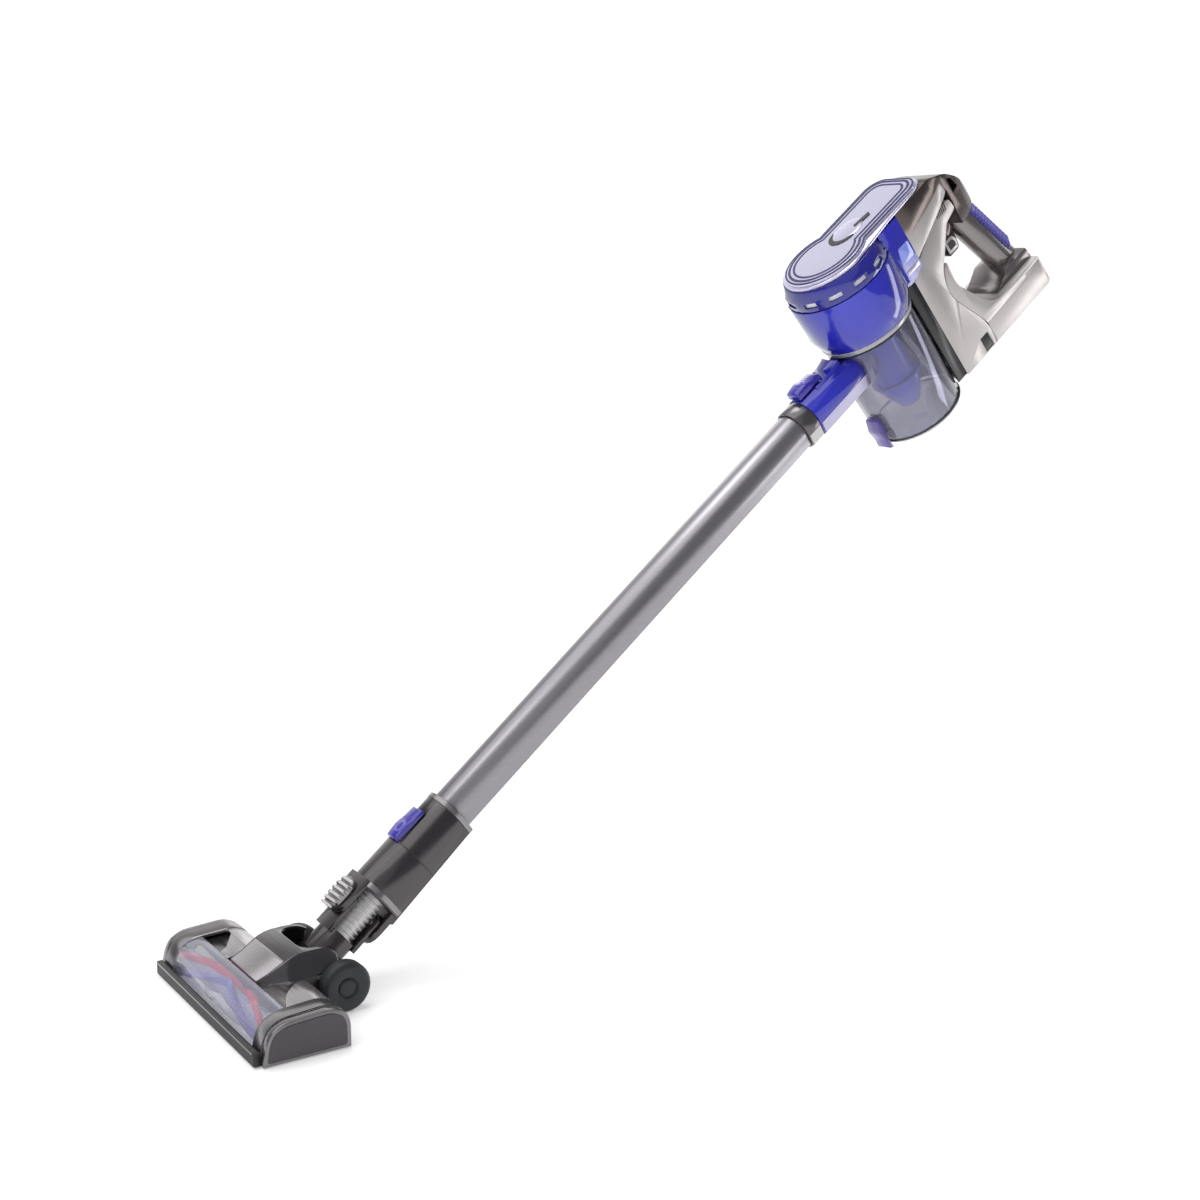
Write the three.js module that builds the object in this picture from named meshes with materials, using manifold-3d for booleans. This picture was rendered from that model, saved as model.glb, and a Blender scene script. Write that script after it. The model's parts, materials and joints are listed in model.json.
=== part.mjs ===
// Cordless upright vacuum cleaner: floor head, wand and handheld unit, in millimetres, +Z up.
// The origin is on the floor under the middle of the floor head. The brush faces -Y and the wand rises to +Y.
// The wand frame used by most pieces has its Y along the wand (called s) and its Z square to it (called n).

import * as THREE from 'three';
import { mergeVertices } from 'three/addons/utils/BufferGeometryUtils.js';
import Module from 'manifold-3d';

const wasm = await Module();
wasm.setup();

// ---------- driving dimensions ----------

const GAP = 0.3; // clearance between neighbouring pieces
const RUN = 0.5; // clearance around what turns or slides

// pose of the wand over the floor head
const WAND_TILT = 39.65; // degrees above the floor
const AXLE_Y = 61; // wheel axle behind the origin
const AXLE_S = -177; // the same axle in the wand frame
const AXLE_N = -8.6;

// floor head
const HEAD_WIDTH = 225;
const HEAD_FRONT = -36;
const HEAD_REAR = 36;
const HEAD_HEIGHT = 35;
const HEAD_WALL = 2;
const END_CAP_WIDTH = 7.5;
const COVER_SPLIT_Y = -8; // where the window meets the top cover
const HOOD_HALF = 31; // the hood over the neck: half width of its crest
const HOOD_FRONT = -6;
const HOOD_REAR = 62;
const HOOD_CREASE = 17; // where its light front ends
const HOOD_TOP = 50;
const NECK_ROOM = 34.5; // front of the opening in the hood for the upright neck
const HOOD_FOOT = 28;
const HOOD_SPREAD = 11; // how far the foot of each flank lies outside its crest
const BUMPER_DEPTH = 6;
const BUMPER_HEIGHT = 11;
const WHEEL_R = 21;
const WHEEL_WIDTH = 14.5;
const WHEEL_OUTER_X = 55;
const AXLE_R = 3;
const BRUSH_Y = -17.5;
const BRUSH_Z = 14.2;
const BRUSH_CORE_R = 8;
const BRISTLE_R = 13.3;
const BRISTLE_TURN = 150; // degrees each half of a bristle row winds
const PULLEY_WIDTH = 5;
const MOTOR_PULLEY_R = 4;
const HEAD_MOTOR_Y = 19;
const HEAD_MOTOR_Z = 15;
const HEAD_MOTOR_R = 11;
const HEAD_MOTOR_LENGTH = 46;
const BELT = 1.2;

// neck and connector
const DRUM_R = 15;
const DRUM_HALF = 26;
const NECK_R = 17;
const NECK_BORE_R = 13.5;
const YAW_S = -125;
const ARM_R = 14;
const ARM_IN = 18;
const ARM_OUT = 23.5;
const PIN_R = 4;
const SLEEVE_FRONT = -9;
const SLEEVE_STEP = -61;
const SLEEVE_REAR = -107;
const SLEEVE_GROW = 4;
const SLEEVE_STEP_GROW = 5.5;
const BUTTON_TRAVEL = 2.2;

// wand
const WAND_R = 17.5;
const WAND_WALL = 1.5;
const WAND_LENGTH = 585;
const WAND_START = -58;
const WAND_END = WAND_START + WAND_LENGTH;
const COLLAR_START = WAND_END - 57;
const COLLAR_END = WAND_END - 40;
const KEEL_DEPTH = WAND_R + 1;
const KEEL_HALF = 9;

// dust cup
const CUP_R = 46;
const CUP_S = WAND_END + 24 + CUP_R;
const CUP_WALL = 2.2;
const CUP_TOP = 16;
const CUP_BOTTOM = -88;
const DOOR_THICK = 3.5;
const INLET_WALL = 2;
const CORE_R = CUP_R - 24;
const CORE_WALL = 2;
const CORE_BOTTOM = -42;
const CONE_BOTTOM = -74;
const CORE_FLANGE = 3; // thickness of the core's top plate

// motor housing
const BODY_R = CUP_R + 7;
const BODY_WALL = 2.5;
const BODY_BOTTOM = 18.5;
const BODY_TOP = 77;
const COLLAR_TOP = 97;
const LID_R = CUP_R - 0.5;
const LID_THICK = 5;
const MOTOR_R = CUP_R - 14;
const MOTOR_LOW = 27;
const MOTOR_HIGH = 64;
const IMPELLER_R = CUP_R - 10;
const VENT_COUNT = 12;

// handle and battery
const PANEL_HALF = 30;
const PANEL_FRONT = CUP_S + CUP_R + 5;
const BASE_BOTTOM = -87;
const ARM_TOP = -55;
const BATTERY_TOP = -64;
const BATTERY_FRONT = PANEL_FRONT + 50;
const BATTERY_LENGTH = 91;
const BASE_REAR = BATTERY_FRONT + BATTERY_LENGTH;
const BLOCK_HALF = PANEL_HALF + 6;
const BLOCK_REAR = PANEL_FRONT + 13;
const LID_REAR = BLOCK_REAR + 53;
const SHELL = 2.6;
const GRIP_TOP = [BASE_REAR - 41, 31];
const GRIP_FOOT = [BASE_REAR - 16, -44];
const GRIP_HALF_X = 14;
const GRIP_HALF_S = 15.5;
const RUBBER = 2.2;

const ROUND = 32; // segments of a large turned piece
const SMALL = 20; // segments of a small one

// ---------- solids ----------

/** Closed manifold solid from a three.js geometry: shared corners merged, empty triangles dropped. */
function solid(geometry) {
  const bare = geometry.clone();
  bare.deleteAttribute('normal');
  bare.deleteAttribute('uv');
  const merged = mergeVertices(bare, 1e-4);
  const place = merged.getAttribute('position');
  const corner = Array.from(merged.index.array);
  const faces = [];
  let volume = 0;
  const a = new THREE.Vector3();
  const b = new THREE.Vector3();
  const c = new THREE.Vector3();
  for (let i = 0; i < corner.length; i += 3) {
    const [p, q, r] = corner.slice(i, i + 3);
    if (p === q || q === r || p === r) continue;
    faces.push([p, q, r]);
    a.fromBufferAttribute(place, p);
    b.fromBufferAttribute(place, q);
    c.fromBufferAttribute(place, r);
    volume += a.dot(b.cross(c));
  }
  const outward = volume < 0 ? faces.map(([p, q, r]) => [p, r, q]) : faces;
  const mesh = new wasm.Mesh({
    numProp: 3,
    vertProperties: new Float32Array(place.array),
    triVerts: new Uint32Array(outward.flat()),
  });
  return new wasm.Manifold(mesh);
}

const fuse = (first, ...rest) => rest.reduce((whole, piece) => whole.add(piece), first);
const cut = (first, ...rest) => rest.reduce((whole, piece) => whole.subtract(piece), first);
const common = (first, second) => first.intersect(second);

/** Closed shape through points [u, v] or [u, v, corner radius]. */
function outline(points) {
  const shape = new THREE.Shape();
  const count = points.length;
  points.forEach(([u, v, radius = 0], i) => {
    const here = new THREE.Vector2(u, v);
    const before = new THREE.Vector2(...points[(i + count - 1) % count]).sub(here);
    const after = new THREE.Vector2(...points[(i + 1) % count]).sub(here);
    const reach = Math.min(radius, before.length() * 0.49, after.length() * 0.49);
    const enter = before.setLength(reach).add(here);
    const leave = after.setLength(reach).add(here);
    if (i === 0) shape.moveTo(enter.x, enter.y);
    else shape.lineTo(enter.x, enter.y);
    if (reach > 0) shape.quadraticCurveTo(u, v, leave.x, leave.y);
  });
  shape.closePath();
  return shape;
}

/** Extruded geometry of a shape or outline, with no bevel. */
function extruded(shape, depth, steps = 1) {
  const form = Array.isArray(shape) ? outline(shape) : shape;
  return new THREE.ExtrudeGeometry(form, { depth, steps, bevelEnabled: false, curveSegments: 4 });
}

/** Prism along X from x0 to x1, its outline given as [y, z]. */
function alongX(shape, x0, x1) {
  const swap = new THREE.Matrix4().set(0, 0, 1, x0, 1, 0, 0, 0, 0, 1, 0, 0, 0, 0, 0, 1);
  return solid(extruded(shape, x1 - x0).applyMatrix4(swap));
}

/** Prism along Y from y0 to y1, its outline given as [x, z]. */
function alongY(shape, y0, y1) {
  return solid(extruded(shape, y1 - y0).rotateX(Math.PI / 2).translate(0, y1, 0));
}

/** Prism along Z from z0 to z1, its outline given as [x, y]. */
function alongZ(shape, z0, z1) {
  return solid(extruded(shape, z1 - z0).translate(0, 0, z0));
}

const lathe = (profile, segments) =>
  new THREE.LatheGeometry(profile.map(([r, h]) => new THREE.Vector2(r, h)), segments);

/** Turned about an axis along Z through [0, y], its closed profile given as [r, z]. */
function turnedZ(profile, y, segments = ROUND) {
  return solid(lathe([...profile, profile[0]], segments).rotateX(Math.PI / 2).translate(0, y, 0));
}

/** Turned about an axis along X through [y, z], its closed profile given as [r, x]. */
function turnedX(profile, y, z, segments = SMALL) {
  return solid(lathe([...profile, profile[0]], segments).rotateZ(-Math.PI / 2).translate(0, y, z));
}

/** Turned about the Y axis, its closed profile given as [r, y]. */
function turnedY(profile, segments = SMALL) {
  return solid(lathe([...profile, profile[0]], segments));
}

const block = (x0, x1, y0, y1, z0, z1) =>
  solid(new THREE.BoxGeometry(x1 - x0, y1 - y0, z1 - z0)
    .translate((x0 + x1) / 2, (y0 + y1) / 2, (z0 + z1) / 2));

const rod = (r, low, high) => [[0, low], [r, low], [r, high], [0, high]];
const ring = (inner, outer, low, high) => [[inner, low], [outer, low], [outer, high], [inner, high]];

/** Outline moved inwards by a distance, each corner along its mitre. */
function inset(points, distance) {
  const area = points.reduce((sum, [u, v], i) => {
    const [p, q] = points[(i + 1) % points.length];
    return sum + u * q - p * v;
  }, 0);
  const side = Math.sign(area) * distance;
  return points.map(([u, v, radius = 0], i) => {
    const here = new THREE.Vector2(u, v);
    const last = new THREE.Vector2(...points[(i + points.length - 1) % points.length]);
    const next = new THREE.Vector2(...points[(i + 1) % points.length]);
    const into = here.clone().sub(last).normalize();
    const out = next.sub(here).normalize();
    const mitre = new THREE.Vector2(-into.y - out.y, into.x + out.x).normalize();
    const stretch = mitre.dot(new THREE.Vector2(-into.y, into.x));
    mitre.multiplyScalar(side / stretch).add(here);
    return [mitre.x, mitre.y, Math.max(radius - distance, 0)];
  });
}

// ---------- the scene ----------

const vacuum = new THREE.Group();
const wandFrame = new THREE.Group();
const tilt = THREE.MathUtils.degToRad(WAND_TILT);
wandFrame.rotation.x = tilt;
wandFrame.position.y = AXLE_Y - AXLE_S * Math.cos(tilt) + AXLE_N * Math.sin(tilt);
wandFrame.position.z = WHEEL_R - AXLE_S * Math.sin(tilt) - AXLE_N * Math.cos(tilt);
vacuum.add(wandFrame);

const FINISH = {
  aluminium: [0x8d8a90, 0.35, 0.8],
  gunmetal: [0x5c595b, 0.4, 0.5],
  dark: [0x3a3639, 0.5, 0.2],
  black: [0x18181a, 0.6, 0],
  steel: [0xb0b2b6, 0.3, 1],
  beige: [0xdcd6d2, 0.35, 0.3],
  lilac: [0xd4cfe6, 0.25, 0.3],
  blue: [0x2a2ab8, 0.15, 0],
  purple: [0x5a4b96, 0.2, 0],
  clear: [0xb8b8c4, 0.1, 0],
  brown: [0x5c524f, 0.35, 0.5],
  red: [0xc03048, 0.8, 0],
  pale: [0xd8d8e4, 0.8, 0],
  rubber: [0x202024, 0.85, 0],
  copper: [0xb5763f, 0.4, 0.9],
};

/** Adds a named piece to a group, in a finish. */
function piece(group, name, form, finish) {
  const { vertProperties, triVerts } = form.getMesh();
  const geometry = new THREE.BufferGeometry();
  geometry.setAttribute('position', new THREE.BufferAttribute(new Float32Array(vertProperties), 3));
  geometry.setIndex(new THREE.BufferAttribute(new Uint32Array(triVerts), 1));
  geometry.computeVertexNormals();
  const [color, roughness, metalness] = FINISH[finish];
  const mesh = new THREE.Mesh(geometry, new THREE.MeshStandardMaterial({ color, roughness, metalness }));
  mesh.name = name;
  group.add(mesh);
}

// places along the wand, measured from the wand's upper end, the cup's axis and the handle's front
const w = (offset) => WAND_END + offset;
const c = (offset) => CUP_S + offset;
const h = (offset) => PANEL_FRONT + offset;

const onFloor = (name, form, finish) => piece(vacuum, name, form, finish);
const onWand = (name, form, finish) => piece(wandFrame, name, form, finish);
const mirrored = (form) => form.mirror([1, 0, 0]);

// ---------- floor head ----------

const CAP_X = HEAD_WIDTH / 2 - END_CAP_WIDTH; // inner face of the end caps
const SIDE_X = CAP_X - GAP; // ends of the shells between them

// side view of the head, [y, z]
const headProfile = [
  [HEAD_FRONT, 0.8], [HEAD_FRONT, 4, 4], [HEAD_FRONT + 3.5, 19, 6], [HEAD_FRONT + 8, HEAD_HEIGHT - 8, 6],
  [-18, HEAD_HEIGHT - 2.5, 8], [4, HEAD_HEIGHT - 1, 8], [HEAD_REAR - 15, HEAD_HEIGHT, 8],
  [HEAD_REAR - 3, HEAD_HEIGHT - 6, 6], [HEAD_REAR, HEAD_HEIGHT - 14, 4], [HEAD_REAR, 0.8],
];

function endCap() {
  const plate = alongX(headProfile, CAP_X, HEAD_WIDTH / 2);
  const pocket = alongX(inset(headProfile, HEAD_WALL), CAP_X - 1, CAP_X + 3);
  return cut(plate, pocket);
}

function headShell() {
  const outer = alongX(headProfile, -SIDE_X, SIDE_X);
  const inner = alongX(inset(headProfile, HEAD_WALL), -SIDE_X - 1, SIDE_X + 1);
  return cut(outer, inner);
}

const FLOOR_CUT = 7; // height where the base meets the covers
const shell = headShell();

function headBase() {
  const tray = common(shell, block(-SIDE_X, SIDE_X, HEAD_FRONT, HEAD_REAR, 0, FLOOR_CUT));
  const sole = block(-SIDE_X, SIDE_X, HEAD_FRONT + 1, HEAD_REAR - 1, 0, 2.6);
  const wall = block(-SIDE_X, SIDE_X, -2.5, -0.5, 1, 26);
  const ear = alongX([[HEAD_REAR - 8, 1, 2], [AXLE_Y, WHEEL_R - 9, 3], [AXLE_Y + 9, WHEEL_R - 5, 6],
    [AXLE_Y + 9, WHEEL_R + 8, 6], [AXLE_Y - 5, WHEEL_R + 9, 5], [HEAD_REAR - 8, 25, 2]],
    DRUM_HALF + RUN, WHEEL_OUTER_X - WHEEL_WIDTH - RUN);
  const bore = turnedX(rod(AXLE_R + GAP, DRUM_HALF - 2, WHEEL_OUTER_X), AXLE_Y, WHEEL_R);
  const mouth = block(-96, SIDE_X - 2, HEAD_FRONT + 5, -4.5, -1, 4);
  const belt = block(BELT_X0 - 1, BELT_X1 + 1, -4, 1, 3, 27);
  const duct = turnedY(rod(10, -5, 3)).translate([0, 0, 14]);
  const ears = fuse(ear, mirrored(ear));
  const base = fuse(tray, sole, wall, ears);
  return cut(base, bore, mirrored(bore), mouth, belt, duct, bumperBack());
}

/** Room kept behind the bumper. */
function bumperBack() {
  return block(-HEAD_WIDTH, HEAD_WIDTH, HEAD_FRONT - 20, HEAD_FRONT, -1, 60);
}

// side view of the hood's crest over the neck, [y, z]
const hoodCrest = new THREE.SplineCurve([
  [HOOD_FRONT, HEAD_HEIGHT - 2], [2, HEAD_HEIGHT + 1.6], [10, HEAD_HEIGHT + 6.2], [19, HOOD_TOP - 3.5],
  [27, HOOD_TOP - 0.8], [35, HOOD_TOP], [47, HOOD_TOP], [55, HOOD_TOP - 1.5], [HOOD_REAR, HOOD_TOP - 5],
].map(([y, z]) => new THREE.Vector2(y, z))).getPoints(28);

// front view of the hood: [side and spread, height], where 1 is the crest and 2 the foot of the flank
const hoodSection = [[1, 1], [1.12, 0.93], [1.35, 0.55], [1.7, 0.2], [2, 0]];

/**
 * Solid dome of the hood, shrunk by a distance or grown by a negative one.
 * Its flanks spread out from a narrow tip at the front.
 */
function hoodDome(shrink) {
  const left = hoodSection.map(([u, v]) => [-u, v]).reverse();
  const form = extruded([...hoodSection, ...left], hoodCrest.length - 1, hoodCrest.length - 1);
  const place = form.getAttribute('position');
  for (let i = 0; i < place.count; i += 1) {
    const { x: y, y: crest } = hoodCrest[Math.round(place.getZ(i))];
    const start = THREE.MathUtils.clamp((y - HOOD_FRONT) / 24, 0, 1);
    const half = HOOD_HALF - 3 * (1 - start) - shrink;
    const u = place.getX(i);
    const x = Math.sign(u) * (half + (Math.abs(u) - 1) * (1 + HOOD_SPREAD * start));
    const low = HOOD_FOOT - Math.abs(shrink);
    const z = low + place.getY(i) * (crest - shrink - low);
    const end = y <= HOOD_FRONT || y >= HOOD_REAR ? shrink : 0;
    place.setXYZ(i, x, y + Math.sign(y) * end, z);
  }
  return solid(form);
}

/** Plan of the light front of the hood, widened by a margin. */
const panelPlan = (margin) => {
  const half = HOOD_HALF - 1.5 + margin;
  return [[3 - half, HOOD_FRONT - 4], [half - 3, HOOD_FRONT - 4], [half, HOOD_FRONT + 24],
    [-half, HOOD_FRONT + 24]];
};

/** Room in front of the crease where the light front lies. */
function panelRoom(margin) {
  const front = block(-SIDE_X, SIDE_X, -50, HOOD_CREASE + margin, 0, 80);
  return common(alongZ(panelPlan(margin), 0, 80), front);
}

/** Room taken out of the right cover beside the hood, where the dark valley lies. */
function valleyRoom(margin) {
  const grow = margin - GAP;
  const tip = CAP_X - 13 + grow;
  const foot = HOOD_HALF + HOOD_SPREAD + grow;
  const side = [
    [0, COVER_SPLIT_Y - 1], [tip, COVER_SPLIT_Y - 1], [tip - 1, COVER_SPLIT_Y + margin],
    [foot + 26, 2, 6], [foot + 16, 10, 10], [foot + 4, 23, 8], [foot - 1, HEAD_REAR + 4],
    [0, HEAD_REAR + 4],
  ];
  return alongZ(side, 0, 80);
}

/** Room of the dark notch in the left cover, beside its end cap. */
const notchRoom = (margin) => alongZ([
  [17 - CAP_X - margin, COVER_SPLIT_Y - 1], [59 - CAP_X + margin, COVER_SPLIT_Y - 1],
  [54 - CAP_X + margin, margin - 1, 4], [27 - CAP_X + margin, 14 + margin, 3],
  [19 - CAP_X - margin, 14 + margin, 2],
], 0, 80);

// side view of the valley floor, a little under the covers
const valleyProfile = [
  [COVER_SPLIT_Y + GAP, HEAD_HEIGHT - 8.5], [COVER_SPLIT_Y + GAP, HEAD_HEIGHT - 6.5], [4, HEAD_HEIGHT - 5],
  [HEAD_REAR - 15, HEAD_HEIGHT - 4], [HEAD_REAR - 6, HEAD_HEIGHT - 9], [HEAD_REAR - 3, HEAD_HEIGHT - 15],
  [HEAD_REAR - 3, FLOOR_CUT + GAP], [HEAD_REAR - 5, FLOOR_CUT + GAP], [HEAD_REAR - 5, HEAD_HEIGHT - 15.5],
  [HEAD_REAR - 7.5, HEAD_HEIGHT - 10.5], [HEAD_REAR - 15.5, HEAD_HEIGHT - 6], [4, HEAD_HEIGHT - 7],
];

/** Dark saddle: the flanks and rear of the hood, and a sunk valley between it and the cover on each side. */
function centreSaddle(dome) {
  const valley = alongX(valleyProfile, -SIDE_X, SIDE_X);
  const rooms = fuse(valleyRoom(0), mirrored(valleyRoom(0)), notchRoom(0));
  const floor = cut(common(valley, rooms), hoodDome(HEAD_WALL));
  const wheelIn = WHEEL_OUTER_X - WHEEL_WIDTH;
  const wheelRoom = turnedX(rod(WHEEL_R + 1.5, wheelIn - 1, HEAD_WIDTH / 2), AXLE_Y, WHEEL_R);
  const earRoom = block(DRUM_HALF - GAP, wheelIn + GAP, HEAD_REAR - 9, HOOD_REAR + 20, 0, WHEEL_R + 10);
  const neckHalf = DRUM_HALF + 1;
  const neckRoom = alongZ([[-neckHalf, NECK_ROOM, 14], [neckHalf, NECK_ROOM, 14],
    [neckHalf, HOOD_REAR + 20],
    [-neckHalf, HOOD_REAR + 20]], 0, 80);
  return cut(fuse(dome, floor), panelRoom(GAP), wheelRoom, mirrored(wheelRoom), earRoom,
    mirrored(earRoom), neckRoom);
}

function sideCoverRight() {
  const top = common(shell, block(2, SIDE_X, COVER_SPLIT_Y + GAP, HEAD_REAR, FLOOR_CUT + GAP, 60));
  return cut(top, valleyRoom(GAP));
}

/** The left cover runs up to the hood's flank. */
function sideCoverLeft() {
  const top = common(shell, block(-SIDE_X, -2, COVER_SPLIT_Y + GAP, HEAD_REAR, FLOOR_CUT + GAP, 60));
  const half = HOOD_HALF + GAP;
  const hoodRoom = alongZ([[3 - half, -50], [0, -50], [0, 60], [-half, 60], [-half, HOOD_FRONT + 24]], 0, 80);
  const earRoom = block(-WHEEL_OUTER_X + WHEEL_WIDTH - 2 * GAP, 0, HEAD_REAR - 14, HEAD_REAR + 4, 0, 30);
  return cut(top, hoodDome(-GAP), hoodRoom, earRoom, notchRoom(GAP));
}

function brushWindow() {
  return common(shell, block(-SIDE_X, SIDE_X, HEAD_FRONT, COVER_SPLIT_Y, FLOOR_CUT + GAP, 60));
}

function bumper() {
  const half = HEAD_WIDTH / 2 - 4;
  const plan = [[-half, HEAD_FRONT - GAP], [half, HEAD_FRONT - GAP], [half, HEAD_FRONT - BUMPER_DEPTH, 6],
    [-half, HEAD_FRONT - BUMPER_DEPTH, 6]];
  return alongZ(plan, 1, BUMPER_HEIGHT);
}

/** One V-shaped bristle row: a thin blade wound round the core, its two halves opposite ways. */
function bristleRow(startAngle) {
  const half = CAP_X - 14;
  const steps = 28;
  const blade = extruded([[BRUSH_CORE_R + GAP, -1], [BRISTLE_R, -1], [BRISTLE_R, 1],
    [BRUSH_CORE_R + GAP, 1]],
    2 * half, steps);
  const place = blade.getAttribute('position');
  const turn = THREE.MathUtils.degToRad(BRISTLE_TURN);
  for (let i = 0; i < place.count; i += 1) {
    const along = place.getZ(i) - half;
    const angle = startAngle + turn * Math.abs(along) / half;
    const u = place.getX(i);
    const v = place.getY(i);
    place.setXYZ(i, u * Math.cos(angle) - v * Math.sin(angle), u * Math.sin(angle) + v * Math.cos(angle),
      along);
  }
  const swap = new THREE.Matrix4().set(0, 0, 1, 0, 1, 0, 0, BRUSH_Y, 0, 1, 0, BRUSH_Z, 0, 0, 0, 1);
  return solid(blade.applyMatrix4(swap));
}

const BRUSH_END = CAP_X - 12; // end of the roller's core
const BELT_X0 = CAP_X - 10.5;
const BELT_X1 = BELT_X0 + PULLEY_WIDTH;

function beltLoop() {
  const loop = (grow) => {
    const shape = new THREE.Shape();
    const rise = Math.atan2(HEAD_MOTOR_Z - BRUSH_Z, HEAD_MOTOR_Y - BRUSH_Y);
    const lean = Math.acos((BRUSH_CORE_R - MOTOR_PULLEY_R) / Math.hypot(HEAD_MOTOR_Z - BRUSH_Z,
      HEAD_MOTOR_Y - BRUSH_Y));
    shape.absarc(BRUSH_Y, BRUSH_Z, BRUSH_CORE_R + grow, rise + lean, rise - lean + 2 * Math.PI);
    shape.absarc(HEAD_MOTOR_Y, HEAD_MOTOR_Z, MOTOR_PULLEY_R + grow, rise - lean, rise + lean);
    return new THREE.Shape(shape.getPoints(8));
  };
  return cut(alongX(loop(GAP + BELT), BELT_X0 + 0.4, BELT_X1 - 0.4),
    alongX(loop(GAP), BELT_X0 - 1, BELT_X1 + 1));
}

function buildFloorHead() {
  onFloor('head_base', headBase(), 'dark');
  onFloor('end_cap_right', endCap(), 'gunmetal');
  onFloor('end_cap_left', mirrored(endCap()), 'gunmetal');
  onFloor('side_cover_right', sideCoverRight(), 'aluminium');
  onFloor('side_cover_left', sideCoverLeft(), 'aluminium');
  const dome = cut(hoodDome(0), hoodDome(HEAD_WALL));
  onFloor('centre_panel', common(dome, panelRoom(0)), 'aluminium');
  onFloor('centre_saddle', centreSaddle(dome), 'dark');
  onFloor('brush_window', brushWindow(), 'clear');
  onFloor('front_bumper', bumper(), 'rubber');

  const core = turnedX([[0, -CAP_X + 1], [2.5, -CAP_X + 1], [2.5, -BRUSH_END], [BRUSH_CORE_R, -BRUSH_END],
    [BRUSH_CORE_R, BELT_X1], [2.5, BELT_X1], [2.5, CAP_X - 1], [0, CAP_X - 1]], BRUSH_Y, BRUSH_Z);
  onFloor('brush_core', core, 'dark');
  onFloor('bristle_row_red', bristleRow(0), 'red');
  onFloor('bristle_row_pale', bristleRow(Math.PI), 'pale');
  const bearing = turnedX(ring(2.5 + RUN, 6.5, CAP_X - 4.5, CAP_X - 1), BRUSH_Y, BRUSH_Z);
  onFloor('brush_bearing_right', bearing, 'steel');
  onFloor('brush_bearing_left', mirrored(bearing), 'steel');

  const motorEnd = BELT_X0 - 6;
  const motorCan = turnedX(rod(HEAD_MOTOR_R, motorEnd - HEAD_MOTOR_LENGTH, motorEnd), HEAD_MOTOR_Y,
    HEAD_MOTOR_Z);
  const motorBore = turnedX(rod(1.5 + RUN, motorEnd - 12, motorEnd + 1), HEAD_MOTOR_Y, HEAD_MOTOR_Z);
  const motor = cut(motorCan, motorBore);
  onFloor('head_motor', motor, 'steel');
  const pulley = turnedX([[0, motorEnd - 10], [1.5, motorEnd - 10], [1.5, BELT_X0],
    [MOTOR_PULLEY_R, BELT_X0], [MOTOR_PULLEY_R, BELT_X1], [0, BELT_X1]], HEAD_MOTOR_Y, HEAD_MOTOR_Z);
  onFloor('head_motor_pulley', pulley, 'steel');
  onFloor('drive_belt', beltLoop(), 'rubber');

  const wheelIn = WHEEL_OUTER_X - WHEEL_WIDTH;
  const wheel = turnedX([[AXLE_R + RUN, wheelIn], [WHEEL_R - 2, wheelIn], [WHEEL_R, wheelIn + 2],
    [WHEEL_R, WHEEL_OUTER_X - 3], [WHEEL_R - 3, WHEEL_OUTER_X], [9, WHEEL_OUTER_X - 0.5],
    [8, WHEEL_OUTER_X - 2], [AXLE_R + RUN, WHEEL_OUTER_X - 2]], AXLE_Y, WHEEL_R, ROUND);
  onFloor('wheel_right', wheel, 'rubber');
  onFloor('wheel_left', mirrored(wheel), 'rubber');
  const axle = turnedX(rod(AXLE_R, DRUM_HALF - 3, WHEEL_OUTER_X - 2.5), AXLE_Y, WHEEL_R);
  onFloor('axle_right', axle, 'steel');
  onFloor('axle_left', mirrored(axle), 'steel');
}

// ---------- wand sections ----------

/** Section of the wand and what fits round it: a round tube with a flat keel, grown by a distance. */
function keelSection(grow) {
  const r = WAND_R + grow;
  const low = THREE.MathUtils.degToRad(20);
  const shape = new THREE.Shape();
  shape.absarc(0, 0, r, -low, Math.PI + low);
  const depth = KEEL_DEPTH + grow;
  const half = KEEL_HALF + grow * 0.6;
  [[-half - 5.5, 3 - depth], [-half, -depth], [half, -depth], [half + 5.5, 3 - depth]]
    .forEach(([x, z]) => shape.lineTo(x, z));
  return new THREE.Shape(shape.getPoints(10));
}

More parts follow.
